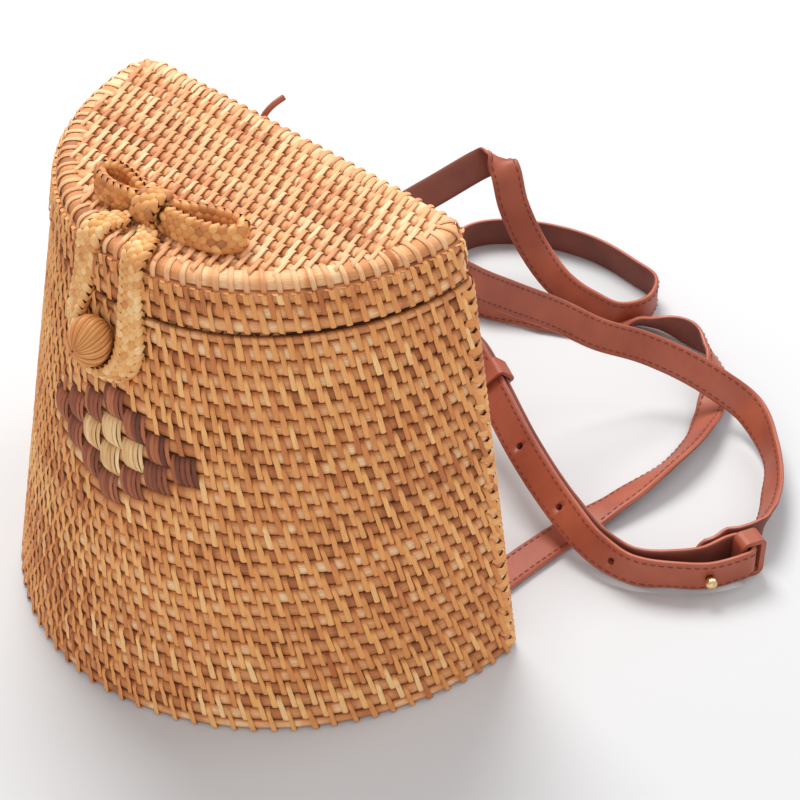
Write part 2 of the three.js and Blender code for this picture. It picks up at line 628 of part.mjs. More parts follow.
// Where the lower part lies double: the middle between its two runs, and their spread as a
// share of the strap's thickness
const DOUBLED_ROWS = [
  { across: -0.12, back: 0.425, up: 0.18, lift: 0.12, w: [-0.2, -0.7, -0.7], spread: 1.4 },
  { across: 0.05, back: 0.42, up: 0.18, lift: 0.12, w: [-0.25, -0.66, -0.7], spread: 1.4 },
  { across: 0.208, back: 0.388, up: 0.16, lift: 0.12, w: [-0.25, -0.66, -0.7], spread: 1.4 },
  { across: 0.515, back: 0.316, up: 0.11, lift: 0.18, w: [-0.25, -0.66, -0.7], spread: 1.45 },
  { across: 0.776, back: 0.275, up: 0.035, lift: 0.58, w: [-0.2, -0.6, -0.77], spread: 1.6 },
  { across: 0.975, back: 0.257, up: 0, lift: 0.72, w: [-0.15, -0.4, -0.9], spread: 1.7 },
  { across: 1.125, back: 0.265, up: 0, lift: 0.66, w: [-0.1, -0.2, -0.97], spread: 1.9 },
  { across: 1.24, back: 0.305, up: 0, lift: 0.7, w: [0, 0, -1], spread: 2.4 },
  { across: 1.32, back: 0.35, up: 0, lift: 0.66, w: [0, 0, -1], spread: 3.3 },
  { across: 1.37, back: 0.405, up: 0, lift: 0.69, w: [0, 0, -1], spread: 4.1 },
];
const LINK_LIFT = 0.687; // height of the link's middle, a share of the strap's width

// The doubled stretch as rows, with the middle's direction added to each
function doubledMiddle() {
  const rows = strapRows(DOUBLED_ROWS);
  const line = new THREE.CatmullRomCurve3(rows.map((row) => row.at), false, "centripetal");
  return rows.map((row, index) => {
    const along = line.getTangent(index / (rows.length - 1));
    const across = row.width.clone().normalize();
    across.addScaledVector(along, -across.dot(along)).normalize();
    const front = across.clone().cross(along);
    return { ...row, along, across, front, spread: DOUBLED_ROWS[index].spread * STRAP_THICKNESS };
  });
}

const MIDDLE = doubledMiddle();
const LINK_AT = linkPlace();

// The turn of the lower part, just past the last row, and the link's place on it
function linkPlace() {
  const last = MIDDLE.at(-1);
  const radius = last.spread / 2;
  const at = last.at.clone().addScaledVector(last.along, 0.35 * radius);
  at.z = CLEARANCE + LINK_LIFT * STRAP_WIDTH;
  return { ...last, at, radius };
}

function runRows(rows, side) {
  return rows.map((row) => ({
    at: row.at.clone().addScaledVector(row.front, (side * row.spread) / 2),
    width: row.across,
    share: row.share,
  }));
}

// The free end's rounded tip, seen from the run that it ends
function tipRows(row, along) {
  const reach = STRAP_WIDTH / 2;
  return [
    { at: row.at.clone().addScaledVector(along, 0.55 * reach), width: row.width, share: 0.86 },
    { at: row.at.clone().addScaledVector(along, 0.85 * reach), width: row.width, share: 0.6 },
    { at: row.at.clone().addScaledVector(along, reach), width: row.width, share: 0.3 },
  ];
}

function turnRows() {
  const { at, along, across, front, radius } = LINK_AT;
  return [-60, 0, 60].map((degrees) => {
    const turn = THREE.MathUtils.degToRad(degrees);
    const place = at.clone().addScaledVector(along, radius * Math.cos(turn));
    return { at: place.addScaledVector(front, radius * Math.sin(turn)), width: across };
  });
}

function lowerStrapFrames() {
  const front = runRows(MIDDLE, 1).reverse();
  const end = front.at(-1);
  const frames = bandPath(
    [
      ...cornerEndRows(-1),
      ...strapRows(LEFT_LOWER_ROWS),
      ...runRows(MIDDLE, -1),
      ...turnRows(),
      ...front,
      ...tipRows(end, MIDDLE[0].along.clone().negate()),
    ],
    STRAP_STEP,
  );
  return onFloor(frames);
}

// Places on the front run, by their distance back from the turn
function frontRunFrame(distance) {
  const rows = runRows(MIDDLE, 1).reverse();
  return bandFrames(rows, 1)[Math.round(distance)];
}

const STUD_DISTANCE = 15;
const FIRST_HOLE_DISTANCE = 57;

function strapHole(frame) {
  const drill = new THREE.CylinderGeometry(HOLE_RADIUS, HOLE_RADIUS, 1.3 * STRAP_THICKNESS, 12);
  return toManifold(placed(drill, frame.point, frame.along, frame.out, frame.across.clone().negate()));
}

function leftLowerStrap() {
  let strap = toManifold(bandSolid(lowerStrapFrames(), STRAP_WIDTH, STRAP_THICKNESS, STRAP_EDGE));
  const distances = [STUD_DISTANCE];
  for (let i = 0; i < 3; i++) {
    distances.push(FIRST_HOLE_DISTANCE + i * HOLE_SPACING);
  }
  for (const distance of distances) {
    strap = strap.subtract(strapHole(frontRunFrame(distance)));
  }
  return toGeometry(strap);
}

function rightStrap() {
  const rows = [
    ...topEndRows(-STRAP_SPACING / 2),
    ...strapRows(RIGHT_STRAP_ROWS),
    ...cornerEndRows(1).reverse(),
  ];
  return bandSolid(onFloor(bandPath(rows, STRAP_STEP)), STRAP_WIDTH, STRAP_THICKNESS, STRAP_EDGE);
}

// The upper part's end goes on edge past the link and lies behind the lower part's two runs:
// along is a share of the strap's width, away a share of its distance from the turn's
// middle, and lift a share of the strap's width from the floor
const END_ROWS = [
  { along: 1, away: 0.85, lift: 0.76 },
  { along: 0.36, away: 0.84, lift: 0.69 },
  { along: 0, away: 1.03, lift: 0.63 },
];

function leftUpperStrap() {
  const up = vec(0, 0, 1);
  const reach = LINK_AT.radius + STRAP_THICKNESS + 5 * CLEARANCE;
  const beside = (row, along, away, lift) => {
    const at = row.at.clone().addScaledVector(row.along, along * STRAP_WIDTH);
    at.addScaledVector(row.front, -away * reach);
    at.z = CLEARANCE + lift * STRAP_WIDTH;
    return { at, width: up };
  };
  const last = MIDDLE.at(-2);
  const tail = beside(last, 0.5, 1, 0.58);
  const rows = [
    ...topEndRows(STRAP_SPACING / 2),
    ...strapRows(LEFT_UPPER_ROWS),
    ...END_ROWS.map(({ along, away, lift }) => beside(LINK_AT, along, away, lift)),
    tail,
    ...tipRows(tail, last.along.clone().negate()),
  ];
  return bandSolid(onFloor(bandPath(rows, STRAP_STEP)), STRAP_WIDTH, STRAP_THICKNESS, STRAP_EDGE);
}

// Link: a standing oval ring of leather through the turn of the lower part
function linkLoop() {
  const { at, along, front, radius } = LINK_AT;
  const up = vec(0, 0, 1);
  const inner = STRAP_WIDTH + 3 * CLEARANCE;
  const ring = roundedPlate(
    LINK_SLOT + 2 * LINK_THICKNESS,
    inner + 2 * LINK_THICKNESS,
    LINK_WIDTH,
    LINK_THICKNESS + 1,
    LINK_THICKNESS,
  );
  const flatAlong = vec(along.x, along.y, 0).normalize();
  const shift = radius + STRAP_THICKNESS / 2 + 1.5 * CLEARANCE - LINK_SLOT / 2;
  const place = at.clone().addScaledVector(flatAlong, shift);
  place.z = CLEARANCE + inner / 2 + LINK_THICKNESS;
  return placed(ring, place, flatAlong, up, flatAlong.clone().cross(up));
}

// Keeper: a short sleeve round both runs of the lower part
const KEEPER_ROW = 2;

function keeper() {
  const { at, along, across, front, spread } = MIDDLE[KEEPER_ROW];
  const grow = 2 * (KEEPER_THICKNESS + 2 * CLEARANCE);
  const sleeve = roundedPlate(
    STRAP_WIDTH + grow,
    spread + STRAP_THICKNESS + grow,
    KEEPER_LENGTH,
    KEEPER_THICKNESS + STRAP_EDGE,
    KEEPER_THICKNESS,
  );
  return placed(sleeve, at, across, front.clone().negate(), across.clone().cross(front.clone().negate()));
}

// Stud: a base between the two runs, a neck through the front run and a ball head on it
function stud() {
  const frame = frontRunFrame(STUD_DISTANCE);
  const half = STRAP_THICKNESS / 2;
  const baseY = -half - 2 * CLEARANCE - STUD_BASE_THICKNESS;
  const headY = half + CLEARANCE;
  const profile = [
    new THREE.Vector2(0, baseY),
    new THREE.Vector2(STUD_BASE_RADIUS, baseY),
    new THREE.Vector2(STUD_BASE_RADIUS, baseY + STUD_BASE_THICKNESS),
    new THREE.Vector2(STUD_NECK_RADIUS, baseY + STUD_BASE_THICKNESS),
  ];
  const rows = 7;
  const start = Math.PI - Math.asin(STUD_NECK_RADIUS / STUD_RADIUS);
  for (let i = 0; i <= rows; i++) {
    const turn = start * (1 - i / rows);
    const x = i === rows ? 0 : STUD_RADIUS * Math.sin(turn);
    profile.push(new THREE.Vector2(x, headY + STUD_RADIUS * (1 + Math.cos(turn))));
  }
  const body = new THREE.LatheGeometry(profile, 12);
  return placed(body, frame.point, frame.along, frame.out, frame.across.clone().negate());
}

const model = new THREE.Group();

function addPiece(name, geometry, look) {
  const piece = new THREE.Mesh(geometry, new THREE.MeshStandardMaterial(look));
  piece.name = name;
  model.add(piece);
}

const deg = THREE.MathUtils.degToRad;
const cornerLow = CORNER_PATCH_RISE;
addPiece("basket_body", basketBody(), RATTAN);
addPiece("lid", lid(), RATTAN);
addPiece("lid_rim", lidRim(), RATTAN);
addPiece("hinge_binding_left", hingeBinding(-BINDING_SPACING / 2), RATTAN);
addPiece("hinge_binding_right", hingeBinding(BINDING_SPACING / 2), RATTAN);
addPiece("lid_lace", lidLace(), LEATHER);
addPiece("ball_button", ballButton(), BRAID);
addPiece("bow_knot", bowKnot(), BRAID);
addPiece("bow_loop_left", bowLoop(-1, BOW_LEFT_LENGTH, deg(4), deg(4)), BRAID);
addPiece("bow_loop_right", bowLoop(1, BOW_RIGHT_LENGTH, deg(18), deg(24)), BRAID);
addPiece("closure_loop", closureLoop(), BRAID);
addPiece(
  "top_patch",
  patch(0, TOP_PATCH_Z - TOP_PATCH_HEIGHT, TOP_PATCH_WIDTH, TOP_PATCH_HEIGHT),
  LEATHER,
);
addPiece("corner_patch_left", patch(-CORNER_X, cornerLow, CORNER_PATCH_WIDTH, CORNER_PATCH_HEIGHT), LEATHER);
addPiece("corner_patch_right", patch(CORNER_X, cornerLow, CORNER_PATCH_WIDTH, CORNER_PATCH_HEIGHT), LEATHER);
addPiece("strap_right", rightStrap(), LEATHER);
addPiece("strap_left_upper", leftUpperStrap(), LEATHER);
addPiece("strap_left_lower", leftLowerStrap(), LEATHER);
addPiece("link_loop", linkLoop(), LEATHER);
addPiece("keeper", keeper(), LEATHER);
addPiece("stud", stud(), GOLD);

export default model;
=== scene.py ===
"""Dresses the woven backpack: cane weave, plaited bow, leather straps, floor, light and camera."""

import math

import bpy
import numpy as np
from mathutils import Matrix, Vector


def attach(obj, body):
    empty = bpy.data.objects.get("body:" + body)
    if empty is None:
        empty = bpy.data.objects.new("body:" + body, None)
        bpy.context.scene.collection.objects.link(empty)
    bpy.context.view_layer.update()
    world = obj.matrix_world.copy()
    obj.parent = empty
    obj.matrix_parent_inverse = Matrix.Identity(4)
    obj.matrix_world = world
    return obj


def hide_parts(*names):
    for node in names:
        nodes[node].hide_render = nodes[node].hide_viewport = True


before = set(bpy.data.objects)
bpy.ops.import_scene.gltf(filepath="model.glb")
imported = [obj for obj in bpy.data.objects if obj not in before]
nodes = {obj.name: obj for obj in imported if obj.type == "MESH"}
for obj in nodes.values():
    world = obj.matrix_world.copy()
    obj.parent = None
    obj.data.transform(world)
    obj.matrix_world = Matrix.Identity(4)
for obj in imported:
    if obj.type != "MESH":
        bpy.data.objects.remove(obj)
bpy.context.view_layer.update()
random = np.random.default_rng(7)
MM = 0.001

# Sizes of the basket, in millimetres, as in the part's source
HEIGHT = 200.0
BASE_WIDTH, BASE_DEPTH = 232.0, 130.0
TOP_WIDTH, TOP_DEPTH = 168.0, 94.0
SEAM_Z = 178.0
BACK_Y = BASE_DEPTH / 2
RIM_SIZE = 8.0
PANEL_Z = 199.2
CLEARANCE = 0.3

# The weave
ROW_PITCH = 6.25
FIRST_BOUNDARY = 4.75
STITCH_PITCH = 6.9
STITCH_WIDTH = 2.25
STITCH_LEAN = 2.8  # how far a stitch's foot lies to the right of its head
CORE_BULGE = 1.7
STITCH_RISE = 2.3  # how far a stitch stands out over the gaps between the cores
STITCH_WANDER = 0.22  # how far a stitch strays along its row
ROW_WANDER = 0.12  # and up or down
WIDTH_SPREAD = (0.86, 1.14)


def srgb(red, green, blue):
    """A colour given as 0 to 255, as the linear values that shaders take."""
    values = []
    for part in (red, green, blue):
        part /= 255
        values.append(part / 12.92 if part <= 0.04045 else ((part + 0.055) / 1.055) ** 2.4)
    return (*values, 1.0)


# Materials


def new_material(name, roughness, specular=0.4):
    material = bpy.data.materials.new(name)
    material.use_nodes = True
    shader = material.node_tree.nodes["Principled BSDF"]
    shader.inputs["Roughness"].default_value = roughness
    shader.inputs["Specular IOR Level"].default_value = specular
    return material, material.node_tree, shader


def feed(tree, node, inputs):
    """Sets a node's inputs, and links those whose value is another node's output."""
    for key, value in inputs.items():
        if isinstance(value, bpy.types.NodeSocket):
            tree.links.new(value, node.inputs[key])
        else:
            node.inputs[key].default_value = value


def add_node(tree, kind, inputs=None, **settings):
    node = tree.nodes.new(kind)
    for key, value in settings.items():
        setattr(node, key, value)
    feed(tree, node, inputs or {})
    return node


def attribute(tree, name, output):
    return add_node(tree, "ShaderNodeAttribute", attribute_name=name).outputs[output]


def colour_ramp(tree, value, stops):
    ramp = add_node(tree, "ShaderNodeValToRGB", {"Fac": value})
    elements = ramp.color_ramp.elements
    while len(elements) < len(stops):
        elements.new(0.5)
    for element, (place, colour) in zip(elements, stops):
        element.position = place
        element.color = colour
    return ramp.outputs["Color"]


def bumped(tree, height, strength, distance, invert=False):
    inputs = {"Height": height, "Strength": strength, "Distance": distance}
    return add_node(tree, "ShaderNodeBump", inputs, invert=invert).outputs["Normal"]


def cane_material(name, stops, roughness=0.5, fibre=0.5):
    """Split cane: colours by a tone from 0 to 1, each strand's own tone darkened by painted shade
    where that is given, with fibres that run along it.
    """
    material, tree, shader = new_material(name, roughness)
    tones = [(place, srgb(*colour)) for place, colour in stops.items()]
    colour = colour_ramp(tree, attribute(tree, "tone", "Fac"), tones)
    strand = {"Vector": attribute(tree, "strand", "Vector"), "Scale": (4.0, 0.22, 1.0)}
    stretched = add_node(tree, "ShaderNodeMapping", strand).outputs["Vector"]
    noise = {"Vector": stretched, "Scale": 1.0, "Detail": 4.0}
    fibres = add_node(tree, "ShaderNodeTexNoise", noise).outputs["Fac"]
    grain = colour_ramp(tree, fibres, [(0.3, (0.62, 0.5, 0.42, 1)), (0.62, (1.12, 1.1, 1.08, 1))])
    mix = add_node(tree, "ShaderNodeMix", data_type="RGBA", blend_type="MULTIPLY")
    feed(tree, mix, {0: fibre, 6: colour, 7: grain})
    normal = bumped(tree, fibres, 0.35, 0.0003)
    feed(tree, shader, {"Base Color": mix.outputs[2], "Normal": normal})
    return material


def inner_material():
    """The walls from inside: short stitches in rows over the cores, drawn on the surface."""
    material, tree, shader = new_material("inner_cane", 0.6, 0.3)
    place = attribute(tree, "inside", "Vector")
    colours = {"Color1": srgb(212, 150, 96), "Color2": srgb(176, 112, 66)}
    sizes = {"Scale": 1.0, "Brick Width": 3.45, "Row Height": 6.0, "Mortar Size": 0.55}
    dark = {"Mortar": srgb(96, 54, 28), "Mortar Smooth": 0.6}
    rows = add_node(tree, "ShaderNodeTexBrick", {"Vector": place, **colours, **sizes, **dark})
    normal = bumped(tree, rows.outputs["Fac"], 0.8, 0.001, invert=True)
    feed(tree, shader, {"Base Color": rows.outputs["Color"], "Normal": normal})
    return material


def clouded_colour(tree, shader, noise, dark, light):
    """Lets the colour drift between two, and gives the texture place that it follows."""
    place = add_node(tree, "ShaderNodeTexCoord").outputs["Object"]
    cloud = add_node(tree, "ShaderNodeTexNoise", {"Vector": place, **noise}).outputs["Fac"]
    stops = [(0.3, srgb(*dark)), (0.7, srgb(*light))]
    feed(tree, shader, {"Base Color": colour_ramp(tree, cloud, stops)})
    return place


def leather_material(name, colour, shade, roughness=0.48):
    """Leather with fine pores, whose colour drifts towards a darker shade."""
    material, tree, shader = new_material(name, roughness, 0.45)
    place = clouded_colour(tree, shader, {"Scale": 60.0, "Detail": 4.0}, shade, colour)
    pores = add_node(tree, "ShaderNodeTexVoronoi", {"Vector": place, "Scale": 1500.0})
    feed(tree, shader, {"Normal": bumped(tree, pores.outputs["Distance"], 0.25, 0.0002)})
    return material


def gold_material():
    material, tree, shader = new_material("pale_gold", 0.22)
    shader.inputs["Metallic"].default_value = 1.0
    clouded_colour(tree, shader, {"Scale": 300.0}, (222, 184, 126), (246, 216, 166))
    return material



CANE = cane_material(
    "cane",
    {
        0.0: (84, 38, 12),
        0.2: (186, 108, 56),
        0.45: (224, 150, 84),
        0.75: (238, 176, 106),
        1.0: (247, 206, 146),
    },
)
CORE = cane_material(
    "cane_core",
    {0.0: (74, 32, 10), 0.25: (190, 118, 68), 0.6: (228, 164, 108), 1.0: (246, 212, 166)},
    roughness=0.65,
    fibre=0.7,
)
LID_CANE = cane_material(
    "lid_cane",
    {0.0: (120, 62, 30), 0.25: (204, 130, 82), 0.6: (234, 176, 124), 1.0: (248, 214, 170)},
)
DARK_CANE = cane_material(
    "dark_cane", {0.0: (56, 24, 14), 0.5: (146, 78, 50), 1.0: (186, 110, 70)}
)
CREAM_CANE = cane_material(
    "cream_cane", {0.0: (104, 62, 30), 0.35: (222, 176, 118), 1.0: (246, 214, 162)}
)
PLAIT = cane_material(
    "plait",
    {0.0: (88, 42, 14), 0.3: (208, 134, 72), 0.65: (232, 172, 104), 1.0: (246, 208, 150)},
)
INNER_CANE = inner_material()
# painted shade: the dark colour seen in the gaps between the cores
PAINTED_GAP_SHADE = cane_material("cane_gap_painted_shade", {0.0: (70, 32, 14), 1.0: (98, 48, 22)}, roughness=0.8)
LEATHER = leather_material("leather_outer", (170, 88, 62), (152, 74, 52))
LEATHER_INNER = leather_material("leather_inner", (128, 64, 48), (108, 52, 40), 0.6)
LEATHER_EDGE = leather_material("leather_edge", (188, 104, 78), (172, 90, 66), 0.4)
THREAD = leather_material("thread", (128, 58, 44), (112, 48, 38), 0.6)
GOLD = gold_material()

# Meshes


def make_object(name, points, faces, material, body, smooth=True):
    """A mesh from points in millimetres that rides on a body."""
    mesh = bpy.data.meshes.new(name)
    mesh.from_pydata((np.asarray(points) * MM).tolist(), [], faces)
    mesh.materials.append(material)
    if smooth:
        mesh.polygons.foreach_set("use_smooth", [True] * len(mesh.polygons))
    piece = bpy.data.objects.new(name, mesh)
    bpy.context.scene.collection.objects.link(piece)
    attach(piece, body)
    return piece


def set_tone(mesh, tone, strand):
    mesh.attributes.new("tone", "FLOAT", "POINT").data.foreach_set("value", tone)
    attribute = mesh.attributes.new("strand", "FLOAT_VECTOR", "POINT")
    attribute.data.foreach_set("vector", np.asarray(strand, dtype=np.float32).ravel())


def unit(vectors):
    return vectors / np.maximum(np.linalg.norm(vectors, axis=-1, keepdims=True), 1e-12)


def strands(name, centre, across, normal, tone, material, body, slot, crown=0.45, sides=5):
    """Many strands of split cane as one mesh.

    centre, across and normal hold a row of places for each strand, and tone one value for
    each strand or for each place. across is half the strand's width and crown how far its
    middle stands over its edges.
    """
    count, length = centre.shape[:2]
    share = np.linspace(-1, 1, sides)
    points = (
        centre[:, :, None]
        + across[:, :, None] * share[:, None]
        + normal[:, :, None] * (crown * (1 - share**2))[:, None]
    )
    strand_start = np.arange(count)[:, None, None] * (length * sides)
    along = np.arange(length - 1)[None, :, None] * sides
    side = np.arange(sides - 1)[None, None, :]
    low = (strand_start + along + side).ravel()
    faces = np.stack([low, low + 1, low + sides + 1, low + sides], axis=-1)
    piece = make_object(name, points.reshape(-1, 3), faces.tolist(), material, body)
    step = np.linalg.norm(np.diff(centre, axis=1), axis=-1).cumsum(axis=1)
    run = np.concatenate([np.zeros((count, 1)), step], axis=1)
    width = np.linalg.norm(across, axis=-1)
    seed = random.uniform(0, 900, count)
    place = np.zeros((count, length, sides, 3))
    place[..., 0] = width[:, :, None] * share + seed[:, None, None]
    place[..., 1] = run[:, :, None]
    place[..., 2] = seed[:, None, None]
    tone = np.broadcast_to(tone.reshape(count, -1), (count, length))
    set_tone(piece.data, np.repeat(tone.ravel(), sides), place.reshape(-1, 3))
    return piece


def stacked(rows):
    """The columns of rows of arrays, each as one array."""
    return [np.stack(column) for column in zip(*rows)]


def grid_faces(rings, count, closed=True, flip=False):
    """Faces between rings of count points each."""
    faces = []
    for i in range(rings - 1):
        low, high = i * count, (i + 1) * count
        for j in range(count if closed else count - 1):
            k = (j + 1) % count
            if flip:
                faces.append((low + j, high + j, high + k, low + k))
            else:
                faces.append((low + j, low + k, high + k, high + j))
    return faces


def dress(names, material):
    """Gives kept nodes one material."""
    for name in names:
        nodes[name].data.materials.clear()
        nodes[name].data.materials.append(material)


def even_tone(name, tone):
    """Gives a kept node one tone, and its places in millimetres for the fibres."""
    mesh = nodes[name].data
    places = np.empty(3 * len(mesh.vertices))
    mesh.vertices.foreach_get("co", places)
    set_tone(mesh, np.full(len(mesh.vertices), tone), 1000 * places)


# The basket's wall, as a place round it and a height


def plan_size(z):
    """Half the basket's width, and its depth, at a height."""
    half_width = np.interp(z, [0, HEIGHT], [BASE_WIDTH / 2, TOP_WIDTH / 2])
    return half_width, np.interp(z, [0, HEIGHT], [BASE_DEPTH, TOP_DEPTH])


class Wall:
    """The half-moon outline of the basket, run round from the left back corner."""

    FRONT, CORNER, BACK = 240, 12, 80

    def __init__(self, corner_radius):
        self.low = self.ring(0.0, corner_radius)
        self.high = self.ring(HEIGHT, corner_radius)
        middle = (self.low + self.high) / 2
        steps = np.linalg.norm(np.roll(middle, -1, axis=0) - middle, axis=1)
        self.places = np.concatenate([[0.0], steps.cumsum()])
        self.length = self.places[-1]
        self.front_length = self.places[self.FRONT]
        self.back_start = self.places[self.FRONT + self.CORNER]
        self.back_end = self.places[self.FRONT + self.CORNER + self.BACK]

    def ring(self, z, radius):
        """The outline at a height, with its back corners rounded."""
        half_width, depth = plan_size(z)
        start = math.asin(radius / depth)
        corner_x = half_width * math.cos(start) - radius
        turn = np.linspace(start, math.pi - start, self.FRONT + 1)
        front = np.stack([-half_width * np.cos(turn), BACK_Y - depth * np.sin(turn)], axis=1)
        bend = np.linspace(0, math.pi / 2, self.CORNER + 1)
        arc = np.stack([np.cos(bend), np.sin(bend)], axis=1) * radius
        right = arc + [corner_x, BACK_Y - radius]
        left = arc[::-1] * [-1, 1] + [-corner_x, BACK_Y - radius]
        back_x = np.linspace(corner_x, -corner_x, self.BACK + 1)
        back = np.stack([back_x, np.full_like(back_x, BACK_Y)], axis=1)
        flat = np.concatenate([front, right[1:], back[1:], left[1:-1]])
        return np.column_stack([flat, np.full(len(flat), z)])

    def at(self, place, z, out=0.0):
        """Points at places round the wall and heights, and the wall's normals there."""
        place = np.mod(np.asarray(place, dtype=float), self.length)
        z, out = np.broadcast_to(z, place.shape), np.broadcast_to(out, place.shape)
        points = []
        for shift in (-0.5, 0.5):
            moved = np.mod(place + shift, self.length)
            ends = []
            for ring in (self.low, self.high):
                closed = np.concatenate([ring, ring[:1]])
                ends.append([np.interp(moved, self.places, closed[:, axis]) for axis in (0, 1)])
            share = z / HEIGHT
            plan = [low * (1 - share) + high * share for low, high in zip(*ends)]
            slope = [(high - low) / HEIGHT for low, high in zip(*ends)]
            rise = np.stack([*slope, np.ones_like(z)], axis=-1)
            points.append((np.stack([*plan, z], axis=-1), rise))
        along = unit(points[1][0] - points[0][0])
        rise = points[0][1] + points[1][1]
        normal = unit(np.cross(along, rise))
        middle = (points[0][0] + points[1][0]) / 2
        return middle + normal * out[..., None], along, normal


BODY_WALL = Wall(3.0)
LID_WALL = Wall(9.0)


def row_tones(count, spread=0.16):
    """Tones along a row: each length of cane keeps its own for some stitches."""
    tones = np.empty(count)
    i = 0
    while i < count:
        run = int(random.integers(5, 16))
        tones[i : i + run] = random.normal(0.56, 0.15)
        i += run
    return np.clip(tones + random.normal(0, spread * 0.6, count), 0.2, 1)


def single_tones(count, mean, spread):
    """Tones for strands that each have their own."""
    return np.clip(random.normal(mean, spread, count), 0.2, 1)


def stitch_profile(v):
    """How far a stitch stands out: v runs from its head at 0 to its foot at 1."""
    head = np.sin(np.clip(v / 0.2, 0, 1) * math.pi / 2)
    foot = np.sin(np.clip((1 - v) / 0.12, 0, 1) * math.pi / 2)
    dip = 0.16 * np.exp(-(((v - 0.5) / 0.12) ** 2))
    return np.minimum(head, foot) - dip


def stitch_shade(v):
    """How much painted shade darkens a stitch where it goes under its neighbours."""
    return 0.5 * np.exp(-((v / 0.1) ** 2)) + 0.45 * np.exp(-(((1 - v) / 0.05) ** 2))


def woven_rows(name, wall, boundaries, pitch, body, limits, skip=None, proud=0.0):
    """Rows of stitches round a wall, each over the two rows on either side of a boundary."""
    v = np.array([0, 0.05, 0.12, 0.22, 0.36, 0.5, 0.64, 0.8, 0.9, 0.96, 1.0])
    centres, acrosses, normals, tones = [], [], [], []
    count = int(round(wall.length / STITCH_PITCH))
    for index, boundary in enumerate(boundaries):
        place = (np.arange(count) + 0.5 * (index % 2)) * wall.length / count
        place = place + random.normal(0, STITCH_WANDER, count)
        tone = row_tones(count)
        z = boundary + random.normal(0, ROW_WANDER, count)
        if skip is not None:
            keep = ~skip(wall.at(place, z)[0])
            place, z, tone = place[keep], z[keep], tone[keep]
        wide = 0.5 * STITCH_WIDTH * random.uniform(*WIDTH_SPREAD, len(place))
        reach = 0.99 * pitch
        height = np.clip(z[:, None] + reach * (1 - 2 * v), *limits)
        lean = STITCH_LEAN * random.uniform(0.8, 1.2, len(place))
        run = place[:, None] + lean[:, None] * (v - 0.5)
        point, along, normal = wall.at(run, height, proud + 0.1 + STITCH_RISE * stitch_profile(v))
        narrow = 0.86 + 0.14 * v
        centres.append(point)
        acrosses.append(along * (wide[:, None] * narrow)[..., None])
        normals.append(normal)
        tones.append(tone[:, None] * (1 - stitch_shade(v)))
    columns = [np.concatenate(column) for column in (centres, acrosses, normals, tones)]
    strands(name, *columns, CANE, body, "rattan")


def core_bands(name, wall, edges, body, proud=0.0):
    """The cores: a bulging band round the wall between each two edges."""
    section = np.array([0, 0.08, 0.2, 0.4, 0.6, 0.8, 0.92, 1])
    bulge = CORE_BULGE * np.sin(math.pi * section) ** 0.6
    # painted shade: each core darkens towards its edges, in the valleys between rows
    shade = 0.05 + 0.95 * np.clip(np.sin(math.pi * section) * 1.35, 0, 1)
    count = 260
    place = np.arange(count) * wall.length / count
    rings, tones = [], []
    for low, high in zip(edges[:-1], edges[1:]):
        tone = np.repeat(row_tones(count // 2, 0.3), 2)
        for share, out, dark in zip(section, bulge, shade):
            point, _, _ = wall.at(place, low + (high - low) * share, out + proud)
            rings.append(point)
            tones.append(tone * dark)
    points = np.concatenate(rings)
    faces = grid_faces(len(rings), count)
    piece = make_object(name, points, faces, CORE, body)
    strand = np.zeros((len(points), 3))
    strand[:, 0] = points[:, 2] * 1.2
    strand[:, 1] = np.tile(place, len(rings))
    set_tone(piece.data, np.concatenate(tones), strand)


# The motif: a stepped diamond of sixteen blocks on the front, four by four on a slant

MOTIF_TOP = (6.0, 136.0)  # the middle of its top block, across and up
MOTIF_STEP = 10.2
MOTIF_WIDTH = 10.0
MOTIF_STRANDS = 5


def motif_blocks():
    """Each block's middle and whether it is cream."""
    blocks = []
    for row in range(4):
        for column in range(4):
            x = MOTIF_TOP[0] + (row - 3 + column) * MOTIF_STEP
            z = MOTIF_TOP[1] - (row + 3 - column) * ROW_PITCH
            blocks.append((x, z, row in (1, 2) and column in (1, 2)))
    return blocks


def bare(points):
    """Where plain stitches stay out: on the motif and on the two upright corners."""
    half_width, _ = plan_size(points[..., 2])
    hit = (np.abs(points[..., 0]) > half_width - 2.5) & (points[..., 1] > BACK_Y - 3)
    for x, z, _ in motif_blocks():
        near = np.abs(points[..., 0] - x) < MOTIF_WIDTH / 2 + 0.6
        hit |= near & (np.abs(points[..., 2] - z) < 1.2 * ROW_PITCH) & (points[..., 1] < 0)
    return hit


def wall_place(x, z):
    """The place round the body's wall of a point across its front."""
    place = np.linspace(0, BODY_WALL.front_length, 1200)
    point, _, _ = BODY_WALL.at(place, np.full(place.shape, z))
    return float(np.interp(x, point[:, 0], place))


def motif():
    """Five stitches side by side for each block, lifted like a pillow."""
    v = np.linspace(0, 1, 9)
    parts = {True: [], False: []}
    for x, z, cream in motif_blocks():
        for i in range(MOTIF_STRANDS):
            offset = (i - (MOTIF_STRANDS - 1) / 2) * MOTIF_WIDTH / MOTIF_STRANDS
            place = wall_place(x + 0.94 * offset, z) + STITCH_LEAN * 0.9 * (v - 0.5)
            height = z + 1.0 * ROW_PITCH * (1 - 2 * v)
            pillow = 1 - 0.3 * (2 * offset / MOTIF_WIDTH) ** 2
            lift = 0.3 + 3.3 * pillow * np.sin(math.pi * np.clip(v * 0.96 + 0.02, 0, 1)) ** 0.5
            point, along, normal = BODY_WALL.at(place, height, lift)
            parts[cream].append((point, along * 0.48 * MOTIF_WIDTH / MOTIF_STRANDS, normal))
    for cream, rows in parts.items():
        centre, across, normal = stacked(rows)
        tone = single_tones(len(rows), 0.6, 0.22)[:, None] * (1 - stitch_shade(v))
        material = CREAM_CANE if cream else DARK_CANE
        name = "motif_cream" if cream else "motif_dark"
        strands(name, centre, across, normal, tone, material, "basket", "rattan", crown=0.5)


# Basket body

